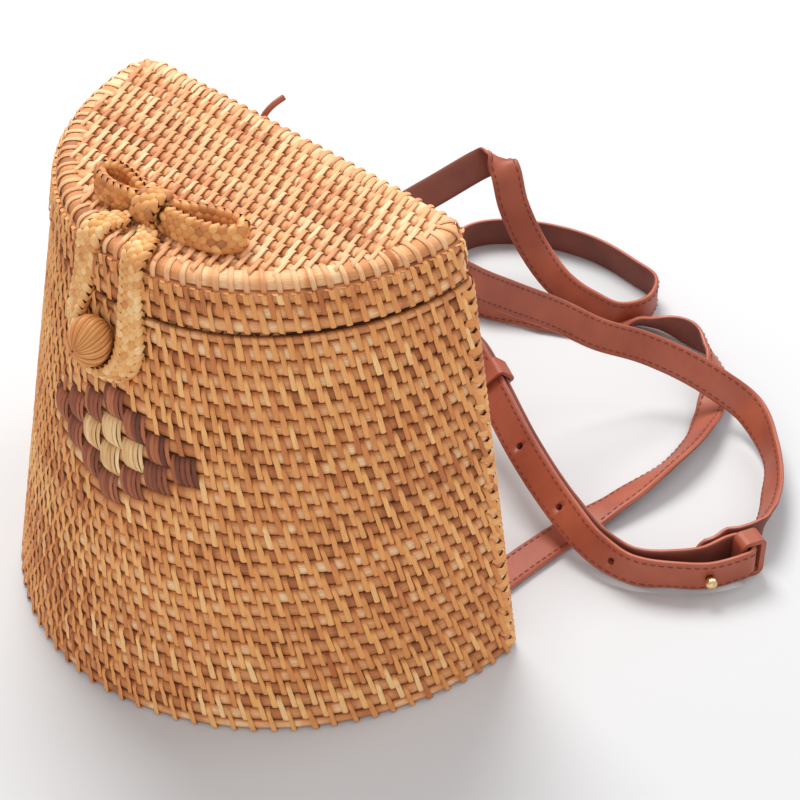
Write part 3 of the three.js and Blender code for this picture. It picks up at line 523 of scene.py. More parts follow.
BOUNDARIES = FIRST_BOUNDARY + ROW_PITCH * np.arange(28)
BODY_EDGES = np.concatenate([[0.3], BOUNDARIES, [SEAM_Z - 0.6]])


LEVEL = 0.7  # a face whose normal rises this much counts as level


def gaps_and_cores(node):
    """A node's outer faces are the gaps between cores, dark with painted shade, and its inner faces
    drawn weave.
    """
    mesh = nodes[node].data
    mesh.materials.clear()
    mesh.materials.append(INNER_CANE)
    mesh.materials.append(PAINTED_GAP_SHADE)
    inside = mesh.attributes.new("inside", "FLOAT_VECTOR", "CORNER")
    middle = Vector((0, 0.02, 0))  # a place inside, in metres
    for face in mesh.polygons:
        away = face.center - middle
        outside = face.normal.x * away.x + face.normal.y * away.y > 0
        level = abs(face.normal.z) > LEVEL
        # outer upright faces take the painted shade of the gaps
        face.material_index = 1 if outside and not level else 0
        for corner in face.loop_indices:
            at = 1000 * mesh.vertices[mesh.loops[corner].vertex_index].co
            if level:
                place = (at.x, at.y, 0)
            elif face.normal.y < -0.9:
                place = (at.x, at.z, 0)
            else:
                place = (0.5 * TOP_WIDTH * math.atan2(at.x, BACK_Y - at.y + 4), at.z, 0)
            inside.data[corner].vector = place


gaps_and_cores("basket_body")
core_bands("body_cores", BODY_WALL, BODY_EDGES, "basket")
BODY_LIMITS = (0.6, SEAM_Z - 0.5)  # how low and how high the body's stitches reach
woven_rows("body_weave", BODY_WALL, BOUNDARIES, ROW_PITCH, "basket", BODY_LIMITS, skip=bare)
motif()


WRAP_PITCH = 3.1
WRAP_REACH = 6.2  # how far a corner's wrap runs to either side
WRAP_LEAN = 3.4


def corner_wraps(name, place):
    """Crossing wraps that bind an upright corner of the body."""
    v = np.linspace(-1, 1, 9)
    heights = np.arange(3.0, SEAM_Z - 2, WRAP_PITCH)
    rows = []
    for index, height in enumerate(heights):
        lean = 1 if index % 2 else -1
        run = place + WRAP_REACH * v
        z = np.clip(height + lean * WRAP_LEAN * v, 1.0, SEAM_Z - 1.0)
        lift = 2.1 - 1.5 * np.abs(v) ** 4 + 0.3 * lean * v
        point, _, normal = BODY_WALL.at(run, z, lift)
        side = unit(np.cross(normal, unit(np.gradient(point, axis=0))))
        rows.append((point, side * 1.6, normal))
    centre, across, normal = stacked(rows)
    strands(name, centre, across, normal, row_tones(len(rows)), CANE, "basket", "rattan")


RIGHT_CORNER = (BODY_WALL.front_length + BODY_WALL.back_start) / 2
LEFT_CORNER = (BODY_WALL.back_end + BODY_WALL.length) / 2
corner_wraps("right_corner_wraps", RIGHT_CORNER)
corner_wraps("left_corner_wraps", LEFT_CORNER)

# Lid

SKIRT_PROUD = 1.1  # the lid stands out over the body by this much
SKIRT_EDGES = np.array([SEAM_Z + 1.2, SEAM_Z + 6.8, SEAM_Z + 12.7, SEAM_Z + 18.4])
gaps_and_cores("lid")
core_bands("skirt_cores", LID_WALL, SKIRT_EDGES, "lid", SKIRT_PROUD)
SKIRT_LIMITS = (SEAM_Z + 1.0, HEIGHT - 4.5)
SKIRT_PITCH = 5.9
woven_rows(
    "skirt_weave",
    LID_WALL,
    SKIRT_EDGES[1:],
    SKIRT_PITCH,
    "lid",
    SKIRT_LIMITS,
    proud=SKIRT_PROUD,
)


def rim_section(run, turn, lift):
    """Points over the lid's rim, and the outward lines there, at turns round its section."""
    base, along, _ = LID_WALL.at(run, np.full(run.shape, HEIGHT - RIM_SIZE / 2))
    flat_out = unit(np.cross(along, np.array([0.0, 0.0, 1.0])))
    bulge = np.abs(np.cos(turn)) ** 0.8 * np.sign(np.cos(turn))
    rise = np.abs(np.sin(turn)) ** 0.8 * np.sign(np.sin(turn))
    radius = RIM_SIZE / 2 + lift
    point = base + flat_out * (radius * bulge - RIM_SIZE / 2 + 0.6)[..., None]
    point[..., 2] += (RIM_SIZE / 2 + 0.45 * lift) * rise
    normal = flat_out * np.cos(turn)[..., None]
    normal[..., 2] += np.sin(turn)
    return point, along, unit(normal)


def rim_core():
    """The lid's rim: a thick round core whose fibres run along it."""
    turns = np.radians(np.linspace(205, -60, 15))
    count = 300
    run = np.arange(count) * LID_WALL.length / count
    tone = np.repeat(row_tones(count // 3, 0.3), 3)
    rings = [rim_section(run, np.full(count, turn), 0.6)[0] for turn in turns]
    faces = grid_faces(len(rings), count, flip=True)
    points = np.concatenate(rings)
    piece = make_object("rim_core", points, faces, CORE, "lid")
    # painted shade: the rim's core darkens at both ends of its section, where it turns under
    shade = np.repeat(np.interp(np.degrees(turns), [-60, -20, 160, 205], [0.2, 1, 1, 0.3]), count)
    columns = [np.repeat(turns * 5, count), np.tile(run, len(rings)), np.zeros(len(points))]
    strand = np.stack(columns, axis=1)
    set_tone(piece.data, np.tile(tone, len(rings)) * shade, strand)


def rim_wraps():
    """Light wraps over the lid's rim, leaning to the right on their way down."""
    count = int(round(LID_WALL.length / STITCH_PITCH))
    turn = np.radians(np.linspace(198, -44, 13))
    place = (np.arange(count) + random.normal(0, 0.04, count)) * LID_WALL.length / count
    run = place[:, None] + np.linspace(-1.7, 1.7, len(turn))
    profile = np.sin(np.clip(np.linspace(0, 1, len(turn)) / 0.12, 0, 1) * math.pi / 2)
    centre, along, normal = rim_section(run, np.broadcast_to(turn, run.shape), 0.4 + 0.9 * profile)
    across = along * (1.05 * random.uniform(0.88, 1.12, count))[:, None, None]
    tone = np.clip(row_tones(count) + 0.12, 0, 1)
    strands("rim_wraps", centre, across, normal, tone, LID_CANE, "lid", "rattan")


dress(["lid_rim"], CORE)
rim_core()
rim_wraps()


LID_TOP_PITCH = 5.7
LID_TOP_ROWS = np.arange(BACK_Y - RIM_SIZE + 1, BACK_Y - TOP_DEPTH + 5, -LID_TOP_PITCH)
LID_TOP_SPACING = 0.78 * STITCH_PITCH
LID_TOP_WIDTH = 2.0
LID_TOP_LEAN = 3.0


def lid_top_weave():
    """Straight rows of stitches over the lid's flat top, shortened to its half-moon."""
    v = np.array([0, 0.08, 0.2, 0.36, 0.5, 0.64, 0.82, 0.94, 1.0])
    centres, acrosses, tones = [], [], []
    for index, y in enumerate(LID_TOP_ROWS):
        depth_share = (BACK_Y - y) / (TOP_DEPTH - 4)
        reach = TOP_WIDTH / 2 * math.sqrt(max(1 - depth_share**2, 0.02)) - 4
        shift = 0.5 * (index % 2)
        x = (np.arange(-34, 35) + shift) * LID_TOP_SPACING
        x = x[np.abs(x) < reach]
        x = x + random.normal(0, 0.2, len(x))
        point = np.empty((len(x), len(v), 3))
        point[..., 0] = x[:, None] + LID_TOP_LEAN * (v - 0.5)
        point[..., 1] = y + 0.98 * LID_TOP_PITCH * (1 - 2 * v)
        point[..., 2] = PANEL_Z + 0.1 + 1.6 * stitch_profile(v)
        centres.append(point)
        across = np.zeros(point.shape)
        across[..., 0] = (0.5 * LID_TOP_WIDTH * random.uniform(*WIDTH_SPREAD, len(x)))[:, None]
        acrosses.append(across)
        tones.append(row_tones(len(x))[:, None] * (1 - 0.7 * stitch_shade(v)))
    centre, across, tone = (np.concatenate(part) for part in (centres, acrosses, tones))
    normal = np.zeros(centre.shape)
    normal[..., 2] = 1
    strands("lid_top_weave", centre, across, normal, tone, LID_CANE, "lid", "rattan")


def lid_top_cores():
    """The bulging cores under the lid top's stitches, from side to side."""
    edges = np.concatenate([[LID_TOP_ROWS[0] + LID_TOP_PITCH], LID_TOP_ROWS])
    section = np.linspace(0, 1, 6)
    bulge = 1.3 * np.sin(math.pi * section) ** 0.6
    # painted shade: each core darkens at its edges, in the valleys between rows
    shade = np.array([0.3, 1, 1, 1, 1, 0.3])
    count = 60
    span = np.linspace(-1, 1, count)
    rows, tone = [], []
    for low, high in zip(edges[:-1], edges[1:]):
        cane = np.repeat(row_tones(count // 2, 0.3), 2)
        for share, out, dark in zip(section, bulge, shade):
            y = low + (high - low) * share
            depth_share = min((BACK_Y - y) / (TOP_DEPTH - 3), 0.999)
            reach = TOP_WIDTH / 2 * math.sqrt(1 - max(depth_share, 0) ** 2) - 3
            z = PANEL_Z - 0.4 + out
            rows.append(np.stack([span * reach, np.full(count, y), np.full(count, z)], axis=1))
            tone.append(cane * dark)
    faces = grid_faces(len(rows), count, closed=False, flip=True)
    points = np.concatenate(rows)
    piece = make_object("lid_top_cores", points, faces, CORE, "lid")
    set_tone(piece.data, np.concatenate(tone), points[:, [1, 0, 2]])


lid_top_weave()
lid_top_cores()

# Bands: leather straps and plaited cane follow rows of places, as in the part's source

STRAP_WIDTH = 15.0
STRAP_THICKNESS = 3.0
STRAP_REACH = 230.0
BRAID_WIDTH = 11.2
BRAID_THICKNESS = 2.6


def vec(x, y, z):
    return np.array([x, y, z], dtype=float)


def band_row(at, width, share=1.0):
    """A place on a band's line, its width's direction and how much of the width it has."""
    return {"at": at, "width": np.array(width, dtype=float), "share": share}


def spline_points(rows, t):
    """Points and tangents of a centripetal Catmull-Rom line through rows, at t from 0 to 1."""
    line = [row["at"] for row in rows]
    points = [2 * line[0] - line[1], *line, 2 * line[-1] - line[-2]]
    out, tangents = [], []
    for value in t:
        scaled = value * (len(line) - 1)
        index = min(int(scaled), len(line) - 2)
        weight = scaled - index
        p0, p1, p2, p3 = points[index : index + 4]
        d0 = max(np.dot(p0 - p1, p0 - p1) ** 0.25, 1e-4)
        d1 = max(np.dot(p1 - p2, p1 - p2) ** 0.25, 1e-4)
        d2 = max(np.dot(p2 - p3, p2 - p3) ** 0.25, 1e-4)
        t1 = ((p1 - p0) / d0 - (p2 - p0) / (d0 + d1) + (p2 - p1) / d1) * d1
        t2 = ((p2 - p1) / d1 - (p3 - p1) / (d1 + d2) + (p3 - p2) / d2) * d1
        c2 = -3 * p1 + 3 * p2 - 2 * t1 - t2
        c3 = 2 * p1 - 2 * p2 + t1 + t2
        out.append(p1 + weight * (t1 + weight * (c2 + weight * c3)))
        tangents.append(t1 + weight * (2 * c2 + 3 * weight * c3))
    return np.array(out), unit(np.array(tangents))


def band_frames(rows, spacing):
    """Even places along a band, with its direction, its width direction and its share."""
    fine_t = np.linspace(0, 1, 60 * len(rows))
    fine, _ = spline_points(rows, fine_t)
    run = np.concatenate([[0], np.linalg.norm(np.diff(fine, axis=0), axis=1).cumsum()])
    count = max(int(math.ceil(run[-1] / spacing)), 4)
    t = np.interp(np.linspace(0, run[-1], count + 1), run, fine_t)
    point, along = spline_points(rows, t)
    scaled = t * (len(rows) - 1)
    index = np.minimum(scaled.astype(int), len(rows) - 2)
    rest = scaled - index
    smooth = (rest * rest * (3 - 2 * rest))[:, None]
    width = unit(np.array([row["width"] for row in rows]))
    across = width[index] * (1 - smooth) + width[index + 1] * smooth
    across -= along * (across * along).sum(axis=1, keepdims=True)
    across = unit(across)
    shares = np.array([row["share"] for row in rows])
    share = shares[index] * (1 - rest) + shares[index + 1] * rest
    return {
        "point": point,
        "across": across,
        "out": np.cross(along, across),
        "share": share,
        "run": np.linspace(0, run[-1], count + 1),
    }


def sampled(frames, places):
    """A band's point, across and out at places along it."""
    parts = {}
    for key in ("point", "across", "out"):
        columns = [np.interp(places, frames["run"], frames[key][:, axis]) for axis in range(3)]
        parts[key] = np.stack(columns, axis=1)
    return parts


def on_floor(frames):
    """Lifts a strap's line where its lower edge would go into the floor."""
    half = STRAP_WIDTH / 2 * np.abs(frames["across"][:, 2])
    drop = half + STRAP_THICKNESS / 2 * np.abs(frames["out"][:, 2])
    frames["point"][:, 2] = np.maximum(frames["point"][:, 2], CLEARANCE + drop)
    return frames


LEATHER_THICKNESS = 2.6
HOLE_RADIUS = 1.6 * MM
DRILL_DEPTH = 4.4 * MM
SECTION_SIDES = 20
OUTER, INNER, EDGE = 0, 1, 2  # the strap's materials
EDGE_SHARE = 0.955  # the sides of a section past this share of its width are the edge


def strap_piece(name, frames, node, holes=()):
    """A leather band with a painted edge, and with holes where they are given."""
    turn = np.linspace(0, 2 * math.pi, SECTION_SIDES, endpoint=False) + math.pi / SECTION_SIDES
    flat = np.sign(np.cos(turn)) * np.abs(np.cos(turn)) ** 0.28
    thick = np.sign(np.sin(turn)) * np.abs(np.sin(turn)) ** 0.55
    half_width = STRAP_WIDTH / 2 * frames["share"]
    points = (
        frames["point"][:, None]
        + frames["across"][:, None] * (half_width[:, None] * flat)[..., None]
        + frames["out"][:, None] * (LEATHER_THICKNESS / 2 * thick)[:, None]
    )
    count = len(points)
    faces = grid_faces(count, SECTION_SIDES)
    faces.append(tuple(range(SECTION_SIDES - 1, -1, -1)))
    faces.append(tuple((count - 1) * SECTION_SIDES + j for j in range(SECTION_SIDES)))
    section_kinds = []
    for middle in turn + math.pi / SECTION_SIDES:
        if abs(math.cos(middle)) > EDGE_SHARE:
            section_kinds.append(EDGE)
        else:
            section_kinds.append(OUTER if math.sin(middle) > 0 else INNER)
    kinds = section_kinds * (count - 1) + [EDGE, EDGE]
    piece = make_object(name, points.reshape(-1, 3), faces, LEATHER, "basket")
    piece.data.materials.append(LEATHER_INNER)
    piece.data.materials.append(LEATHER_EDGE)
    piece.data.polygons.foreach_set("material_index", kinds)
    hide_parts(node)
    if holes:
        cut_holes(piece, holes)


def cut_holes(piece, holes):
    """Drills round holes through a strap, each at a point and along its outward line."""
    cutters = []
    for point, out in holes:
        bpy.ops.mesh.primitive_cylinder_add(vertices=24, radius=HOLE_RADIUS, depth=DRILL_DEPTH)
        cutter = bpy.context.active_object
        cutter.rotation_mode = "QUATERNION"
        cutter.rotation_quaternion = Vector(out).to_track_quat("Z", "Y")
        cutter.location = Vector(point) * MM
        cutters.append(cutter)
    for cutter in cutters:
        cut = piece.modifiers.new("hole", "BOOLEAN")
        cut.object = cutter
        cut.operation = "DIFFERENCE"
        cut.solver = "EXACT"
    bpy.context.view_layer.update()
    shaped = bpy.data.meshes.new_from_object(
        piece.evaluated_get(bpy.context.evaluated_depsgraph_get())
    )
    piece.modifiers.clear()
    piece.data = shaped
    for cutter in cutters:
        bpy.data.objects.remove(cutter)


SEAM_PITCH = 3.6
SEAM_INSET = 2.0  # how far the stitches lie in from a strap's edge


def stitch_rows(name, frames, start, end):
    """Two rows of short stitches along a strap's outer face."""
    run = frames["run"]
    rows = []
    for side in (-1, 1):
        for value in np.arange(run[0] + start, run[-1] - end, SEAM_PITCH):
            sample = sampled(frames, value + np.array([-1.2, -0.7, 0, 0.7, 1.2]))
            lift = LEATHER_THICKNESS / 2 + np.array([-0.15, 0.12, 0.2, 0.12, -0.15])
            centre = (
                sample["point"]
                + sample["across"] * side * (STRAP_WIDTH / 2 - SEAM_INSET)
                + sample["out"] * lift[:, None]
            )
            rows.append((centre, sample["across"] * 0.3, sample["out"]))
    centre, across, normal = stacked(rows)
    tone = np.full(len(rows), 0.5)
    strands(name, centre, -across, normal, tone, THREAD, "basket", "leather", crown=0.25, sides=3)


def rows_from(table):
    """Places from a table of across, back, up, lift and width direction."""
    rows = []
    for across, back, up, lift, width in table:
        at = vec(
            across * BASE_WIDTH / 2,
            BACK_Y + back * STRAP_REACH,
            CLEARANCE + up * HEIGHT + lift * STRAP_WIDTH,
        )
        rows.append(band_row(at, width))
    return rows


PATCH_THICKNESS = 2.0
TOP_PATCH_HEIGHT = 30.0
TOP_PATCH_Z = SEAM_Z - 14.0
CORNER_PATCH_HEIGHT = 24.0
CORNER_PATCH_RISE = 7.0
CORNER_X = BASE_WIDTH / 2 - 28.0
SEWN_Y = BACK_Y + 2.2 * CLEARANCE + PATCH_THICKNESS + STRAP_THICKNESS / 2


def top_end_rows(x):
    """A strap's sewn end on the top patch, and how it bends away from it."""
    places = ((0, -0.85), (0, -0.5), (0, -0.33), (0.4, -0.1), (2.2, 0.03), (4.6, -0.1))
    rows = []
    for out, up in places:
        at = vec(x, SEWN_Y + out * STRAP_THICKNESS, TOP_PATCH_Z + up * TOP_PATCH_HEIGHT)
        rows.append(band_row(at, (1, 0, 0)))
    return rows


def corner_end_rows(side):
    """A strap's sewn end on a corner patch, down to the floor."""
    top = CORNER_PATCH_RISE + CORNER_PATCH_HEIGHT
    floor_z = CLEARANCE + STRAP_THICKNESS / 2
    places = (
        (0, top - 2),
        (0, top - 0.4 * CORNER_PATCH_HEIGHT),
        (0, top - 0.66 * CORNER_PATCH_HEIGHT),
        (0.5, floor_z + 1.7 * STRAP_THICKNESS),
        (2, floor_z + 0.4 * STRAP_THICKNESS),
    )
    rows = []
    for out, z in places:
        at = vec(side * CORNER_X, SEWN_Y + out * STRAP_THICKNESS, z)
        rows.append(band_row(at, (1, 0, 0)))
    return rows


# Where the straps lie: across, back, up, lift and width direction, as in the part's source
RIGHT_STRAP = [
    (-0.12, 0.13, 0.74, 0, (1, 0, 0)),
    (-0.22, 0.22, 0.61, 0, (1, 0, -0.1)),
    (-0.39, 0.35, 0.425, 0, (0.95, 0, -0.3)),
    (-0.57, 0.48, 0.29, 0, (0.85, 0, -0.5)),
    (-0.69, 0.58, 0.22, 0, (0.8, 0, -0.6)),
    (-0.715, 0.66, 0.212, 0, (0.8, -0.05, -0.62)),
    (-0.66, 0.74, 0.24, 0, (0.75, -0.08, -0.65)),
    (-0.577, 0.824, 0.283, 0, (0.75, -0.08, -0.65)),
    (-0.525, 0.838, 0.303, 0, (0.31, 0.72, -0.63)),
    (-0.463, 0.828, 0.295, 0, (0.53, 0.8, 0.27)),
    (-0.385, 0.813, 0.22, 0, (0.53, 0.8, 0.27)),
    (-0.28, 0.818, 0.122, 0, (0.45, 0.75, 0.45)),
    (-0.115, 0.813, 0.03, 0.4, (0.3, 0.55, 0.78)),
    (0.035, 0.818, 0, 0.56, (0.1, 0.35, 0.93)),
    (0.172, 0.834, 0, 0.52, (0, 0.1, 1)),
    (0.222, 0.892, 0, 0.51, (0, 0, 1)),
    (0.164, 0.957, 0, 0.51, (0, 0, 1)),
    (0.034, 0.971, 0, 0.51, (0, 0, 1)),
    (-0.19, 0.976, 0, 0.51, (0, 0, 1)),
    (-0.41, 0.943, 0, 0.51, (0, 0, 1)),
    (-0.586, 0.88, 0, 0.51, (0, 0, 1)),
    (-0.648, 0.82, 0, 0.51, (0, 0, 1)),
    (-0.61, 0.73, 0, 0.51, (0, 0, 1)),
    (-0.49, 0.669, 0, 0.51, (0, 0, 1)),
    (-0.33, 0.664, 0, 0.51, (0, 0, 1)),
    (-0.18, 0.7, 0, 0.5, (-0.2, 0.2, 0.95)),
    (-0.06, 0.735, 0, 0.42, (-0.5, 0.45, 0.7)),
    (0.12, 0.8, 0, 0.16, (-0.66, 0.75, 0)),
    (0.275, 0.86, 0, 0.42, (-0.4, 0.45, -0.75)),
    (0.455, 0.886, 0, 0.51, (0, 0, -1)),
    (0.6, 0.862, 0, 0.45, (0.3, 0.4, -0.85)),
    (0.725, 0.797, 0, 0.32, (0.75, 0.5, -0.42)),
    (0.797, 0.72, 0, 0.34, (0.85, 0.08, 0.45)),
    (0.85, 0.645, 0, 0.46, (0.7, -0.05, 0.64)),
    (0.872, 0.55, 0, 0.47, (0.64, -0.15, 0.68)),
    (0.84, 0.41, 0, 0.3, (0.9, 0, 0.38)),
    (0.795, 0.29, 0, 0.12, (1, 0, 0)),
    (0.775, 0.2, 0, 0.12, (1, 0, 0)),
    (0.764, 0.11, 0, 0.12, (1, 0, 0)),
]
LEFT_UPPER = [
    (0.11, 0.135, 0.725, 0, (1, 0.05, 0.05)),
    (0.13, 0.243, 0.59, 0, (0.6, 0.5, 0.6)),
    (0.164, 0.361, 0.45, 0, (-0.1, 0.66, 0.75)),
    (0.207, 0.452, 0.36, 0, (-0.2, 0.66, 0.72)),
    (0.284, 0.548, 0.27, 0, (-0.2, 0.66, 0.72)),
    (0.388, 0.613, 0.17, 0.45, (-0.2, 0.66, 0.72)),
    (0.5, 0.685, 0.1, 0.7, (-0.2, 0.66, 0.72)),
    (0.645, 0.726, 0.04, 1.05, (-0.2, 0.66, 0.72)),
    (0.79, 0.745, 0, 1.24, (-0.2, 0.62, 0.76)),
    (0.94, 0.752, 0, 0.85, (0.15, 0.6, 0.78)),
    (1.135, 0.69, 0, 0.62, (0.2, 0.2, 0.95)),
    (1.252, 0.61, 0, 0.58, (0.45, 0.25, 0.85)),
    (1.312, 0.553, 0, 0.68, (0.45, 0.1, 0.85)),
    (1.348, 0.507, 0, 0.78, (0.35, 0, 0.93)),
]
LEFT_LOWER = [
    (-0.79, 0.1, 0.012, 0.12, (1, 0, 0)),
    (-0.74, 0.2, 0.07, 0.12, (0.95, -0.3, -0.1)),
    (-0.6, 0.325, 0.13, 0.12, (0.6, -0.65, -0.45)),
    (-0.37, 0.41, 0.17, 0.12, (0.1, -0.75, -0.65)),
]
DOUBLED = [
    (-0.12, 0.425, 0.18, 0.12, (-0.2, -0.7, -0.7)),
    (0.05, 0.42, 0.18, 0.12, (-0.25, -0.66, -0.7)),
    (0.208, 0.388, 0.16, 0.12, (-0.25, -0.66, -0.7)),
    (0.515, 0.316, 0.11, 0.18, (-0.25, -0.66, -0.7)),
    (0.776, 0.275, 0.035, 0.58, (-0.2, -0.6, -0.77)),
    (0.975, 0.257, 0, 0.72, (-0.15, -0.4, -0.9)),
    (1.125, 0.265, 0, 0.66, (-0.1, -0.2, -0.97)),
    (1.24, 0.305, 0, 0.7, (0, 0, -1)),
    (1.32, 0.35, 0, 0.66, (0, 0, -1)),
    (1.37, 0.405, 0, 0.69, (0, 0, -1)),
]
SPREADS = [1.4, 1.4, 1.4, 1.45, 1.6, 1.7, 1.9, 2.4, 3.3, 4.1]


def doubled_middle():
    """The line midway between the doubled strap's two runs, and how far they lie apart."""
    rows = rows_from(DOUBLED)
    _, tangents = spline_points(rows, np.linspace(0, 1, len(rows)))
    for row, along, spread in zip(rows, tangents, SPREADS):
        across = unit(row["width"])
        across = unit(across - along * np.dot(across, along))
        row.update(along=along, across=across, front=np.cross(across, along))
        row["spread"] = spread * STRAP_THICKNESS
    return rows


MIDDLE = doubled_middle()
TURN_RADIUS = MIDDLE[-1]["spread"] / 2
TURN_AT = MIDDLE[-1]["at"] + MIDDLE[-1]["along"] * 0.35 * TURN_RADIUS
TURN_AT[2] = CLEARANCE + 0.687 * STRAP_WIDTH


def run_rows(side):
    """One of the doubled strap's two runs."""
    rows = []
    for row in MIDDLE:
        rows.append(band_row(row["at"] + row["front"] * side * row["spread"] / 2, row["across"]))
    return rows


def rounded_tip(last, along):
    """Ever narrower places past a strap's last one, which round its tip."""
    rows = []
    for reach, share in ((0.55, 0.86), (0.85, 0.6), (1.0, 0.3)):
        at = last["at"] - along * reach * STRAP_WIDTH / 2
        rows.append(band_row(at, last["width"], share))
    return rows


def left_lower_rows():
    """From the left corner to the link, round it and back along the front."""
    turn_rows = []
    last = MIDDLE[-1]
    for degrees in (-60, 0, 60):
        turn = math.radians(degrees)
        at = TURN_AT + last["along"] * TURN_RADIUS * math.cos(turn)
        at = at + last["front"] * TURN_RADIUS * math.sin(turn)
        turn_rows.append(band_row(at, last["across"]))
    front = run_rows(1)[::-1]
    rows = corner_end_rows(-1) + rows_from(LEFT_LOWER) + run_rows(-1)
    return rows + turn_rows + front + rounded_tip(front[-1], MIDDLE[0]["along"])


# The upper part's end past the link, as in the solids: along, away and lift
END_ROWS = [(1, 0.85, 0.76), (0.36, 0.84, 0.69), (0, 1.03, 0.63)]


def left_upper_rows():
    """From the top patch to the link, and past it on edge behind the doubled strap."""
    turn, last = MIDDLE[-1], MIDDLE[-2]
    reach = turn["spread"] / 2 + STRAP_THICKNESS + 5 * CLEARANCE

    def beside(place, row, along, away, lift):
        at = place + row["along"] * along * STRAP_WIDTH - row["front"] * away * reach
        at[2] = CLEARANCE + lift * STRAP_WIDTH
        return band_row(at, (0, 0, 1))

    rows = top_end_rows(10.0) + rows_from(LEFT_UPPER)
    rows += [beside(TURN_AT, turn, along, away, lift) for along, away, lift in END_ROWS]
    tail = beside(last["at"], last, 0.5, 1.0, 0.58)
    return rows + [tail] + rounded_tip(tail, last["along"])


STUD_DISTANCE = 15
HOLE_DISTANCES = (57, 91, 125)


def straps():
    """The three strap pieces with their holes and stitches."""
    right_rows = top_end_rows(-10.0) + rows_from(RIGHT_STRAP) + corner_end_rows(1)[::-1]
    right = on_floor(band_frames(right_rows, 1.6))
    upper = on_floor(band_frames(left_upper_rows(), 1.6))
    lower = on_floor(band_frames(left_lower_rows(), 1.4))
    front = band_frames(run_rows(1)[::-1], 1.0)
    holes = [(front["point"][i], front["out"][i]) for i in (STUD_DISTANCE, *HOLE_DISTANCES)]
    strap_piece("leather_strap_right", right, "strap_right")
    strap_piece("leather_strap_left_upper", upper, "strap_left_upper")
    strap_piece("leather_strap_left_lower", lower, "strap_left_lower", holes)
    stitch_rows("strap_right_stitches", right, 4, 4)
    stitch_rows("strap_left_upper_stitches", upper, 4, 4)
    stitch_rows("strap_left_lower_stitches", lower, 4, 9)


straps()
BINDINGS = ["hinge_binding_left", "hinge_binding_right"]
dress(["top_patch", "corner_patch_left", "corner_patch_right"], LEATHER)
dress(["link_loop", "keeper", "lid_lace"], LEATHER)
dress(["stud"], GOLD)
dress(BINDINGS, CANE)
for name in BINDINGS:
    even_tone(name, 0.5)
for name in ("lid_rim", "ball_button"):
    even_tone(name, 0.4)


def smooth_node(name, angle=40):
    """Softens a kept node's facets in the picture."""
    mesh = nodes[name].data
    mesh.polygons.foreach_set("use_smooth", [True] * len(mesh.polygons))
    mesh.set_sharp_from_angle(angle=math.radians(angle))


for name in ("link_loop", "keeper", "lid_lace", "stud", "lid_rim", "ball_button", "bow_knot"):
    smooth_node(name)

# Plaited cane


PLAIT_COLUMNS = 4
PLAIT_PITCH = 3.3
PLAIT_THICKNESS = 2.0


def plait(name, frames, width, thickness, node, shade):
    """A flat plait: short strands in four columns that lean to and fro, on both faces."""
    run, pitch = frames["run"], PLAIT_PITCH
    middles = np.arange(run[0] - 0.6 * pitch, run[-1] + 0.1 * pitch, pitch)
    v = np.linspace(0, 1, 9)
    taper = np.array([0.4, 0.72, 0.92, 1, 1, 1, 0.92, 0.72, 0.4])
    rows = []
    for face in (1, -1):
        for column in range(PLAIT_COLUMNS):
            leaning = v if column % 2 else 1 - v
            from_middle = width / 2 * (2 * (column + 1.3 * leaning - 0.15) / PLAIT_COLUMNS - 1)
            edge = np.clip(np.abs(from_middle) / (width / 2), 0, 1)
            lift = (thickness / 2) * np.sqrt(np.clip(1 - edge**5, 0.02, 1))
            lift = lift + 1.15 * np.sin(math.pi * v) - 0.25
            for value in middles + (0.5 * pitch if column % 2 else 0):
                places = np.clip(value + 1.25 * pitch * v, run[0], run[-1])
                sample = sampled(frames, places)
                share = np.interp(places, run, frames["share"])
                centre = (
                    sample["point"]
                    + sample["across"] * (from_middle * share)[:, None]
                    + sample["out"] * (face * lift)[:, None]
                )
                along = unit(np.gradient(centre, axis=0))
                tilt = sample["across"] * (np.sign(from_middle) * 1.3 * edge**5)[:, None]
                normal = unit(sample["out"] * face + tilt)
                across = unit(np.cross(normal, along)) * 0.5 * pitch
                rows.append((centre, across * (taper * share)[:, None], normal))
    centre, across, normal = stacked(rows)
    # painted shade: each strand darkens towards its ends, where it goes under its neighbours
    end_shade = 0.5 * np.abs(2 * v - 1) ** 4
    tone = single_tones(len(rows), shade, 0.16)[:, None] * (1 - end_shade)
    piece = strands(name, centre, -across, normal, tone, PLAIT, "lid", "braid", crown=0.75)
    shaded_band_core(f"{name}_shaded_heart", frames, width * 0.86, thickness * 0.7)
    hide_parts(node)


def shaded_band_core(name, frames, width, thickness):
    """The heart of a plait, in the darkest tone as painted shade, which shows only between its
    strands.
    """
    count = len(frames["point"])
    half = width / 2 * frames["share"][:, None]
    corners = []
    for side, face in ((1, 1), (-1, 1), (-1, -1), (1, -1)):
        from_line = frames["across"] * side * half + frames["out"] * face * thickness / 2
        corners.append(frames["point"] + from_line)
    points = np.stack(corners, axis=1).reshape(-1, 3)
    faces = grid_faces(count, 4) + [(3, 2, 1, 0), tuple(4 * (count - 1) + j for j in range(4))]
    piece = make_object(name, points, faces, PLAIT, "lid", smooth=False)
    # painted shade: the heart takes the darkest tone
    set_tone(piece.data, np.full(len(points), 0.05), points)


KNOT_WIDTH, KNOT_DEPTH, KNOT_HEIGHT = 11.0, 14.0, 12.6
TOP_FRONT_Y = BACK_Y - TOP_DEPTH
KNOT_Y = TOP_FRONT_Y + 19.5
BOW_Z = PANEL_Z + CLEARANCE
BOW_OPENING = 9.0
BOW_ROWS = [
    (0, -0.2),
    (0.25, -0.42),
    (0.55, -0.55),
    (0.85, -0.42),
    (1, 0.02),
    (0.86, 0.45),
    (0.55, 0.52),
    (0.25, 0.36),
    (0, 0.2),
]


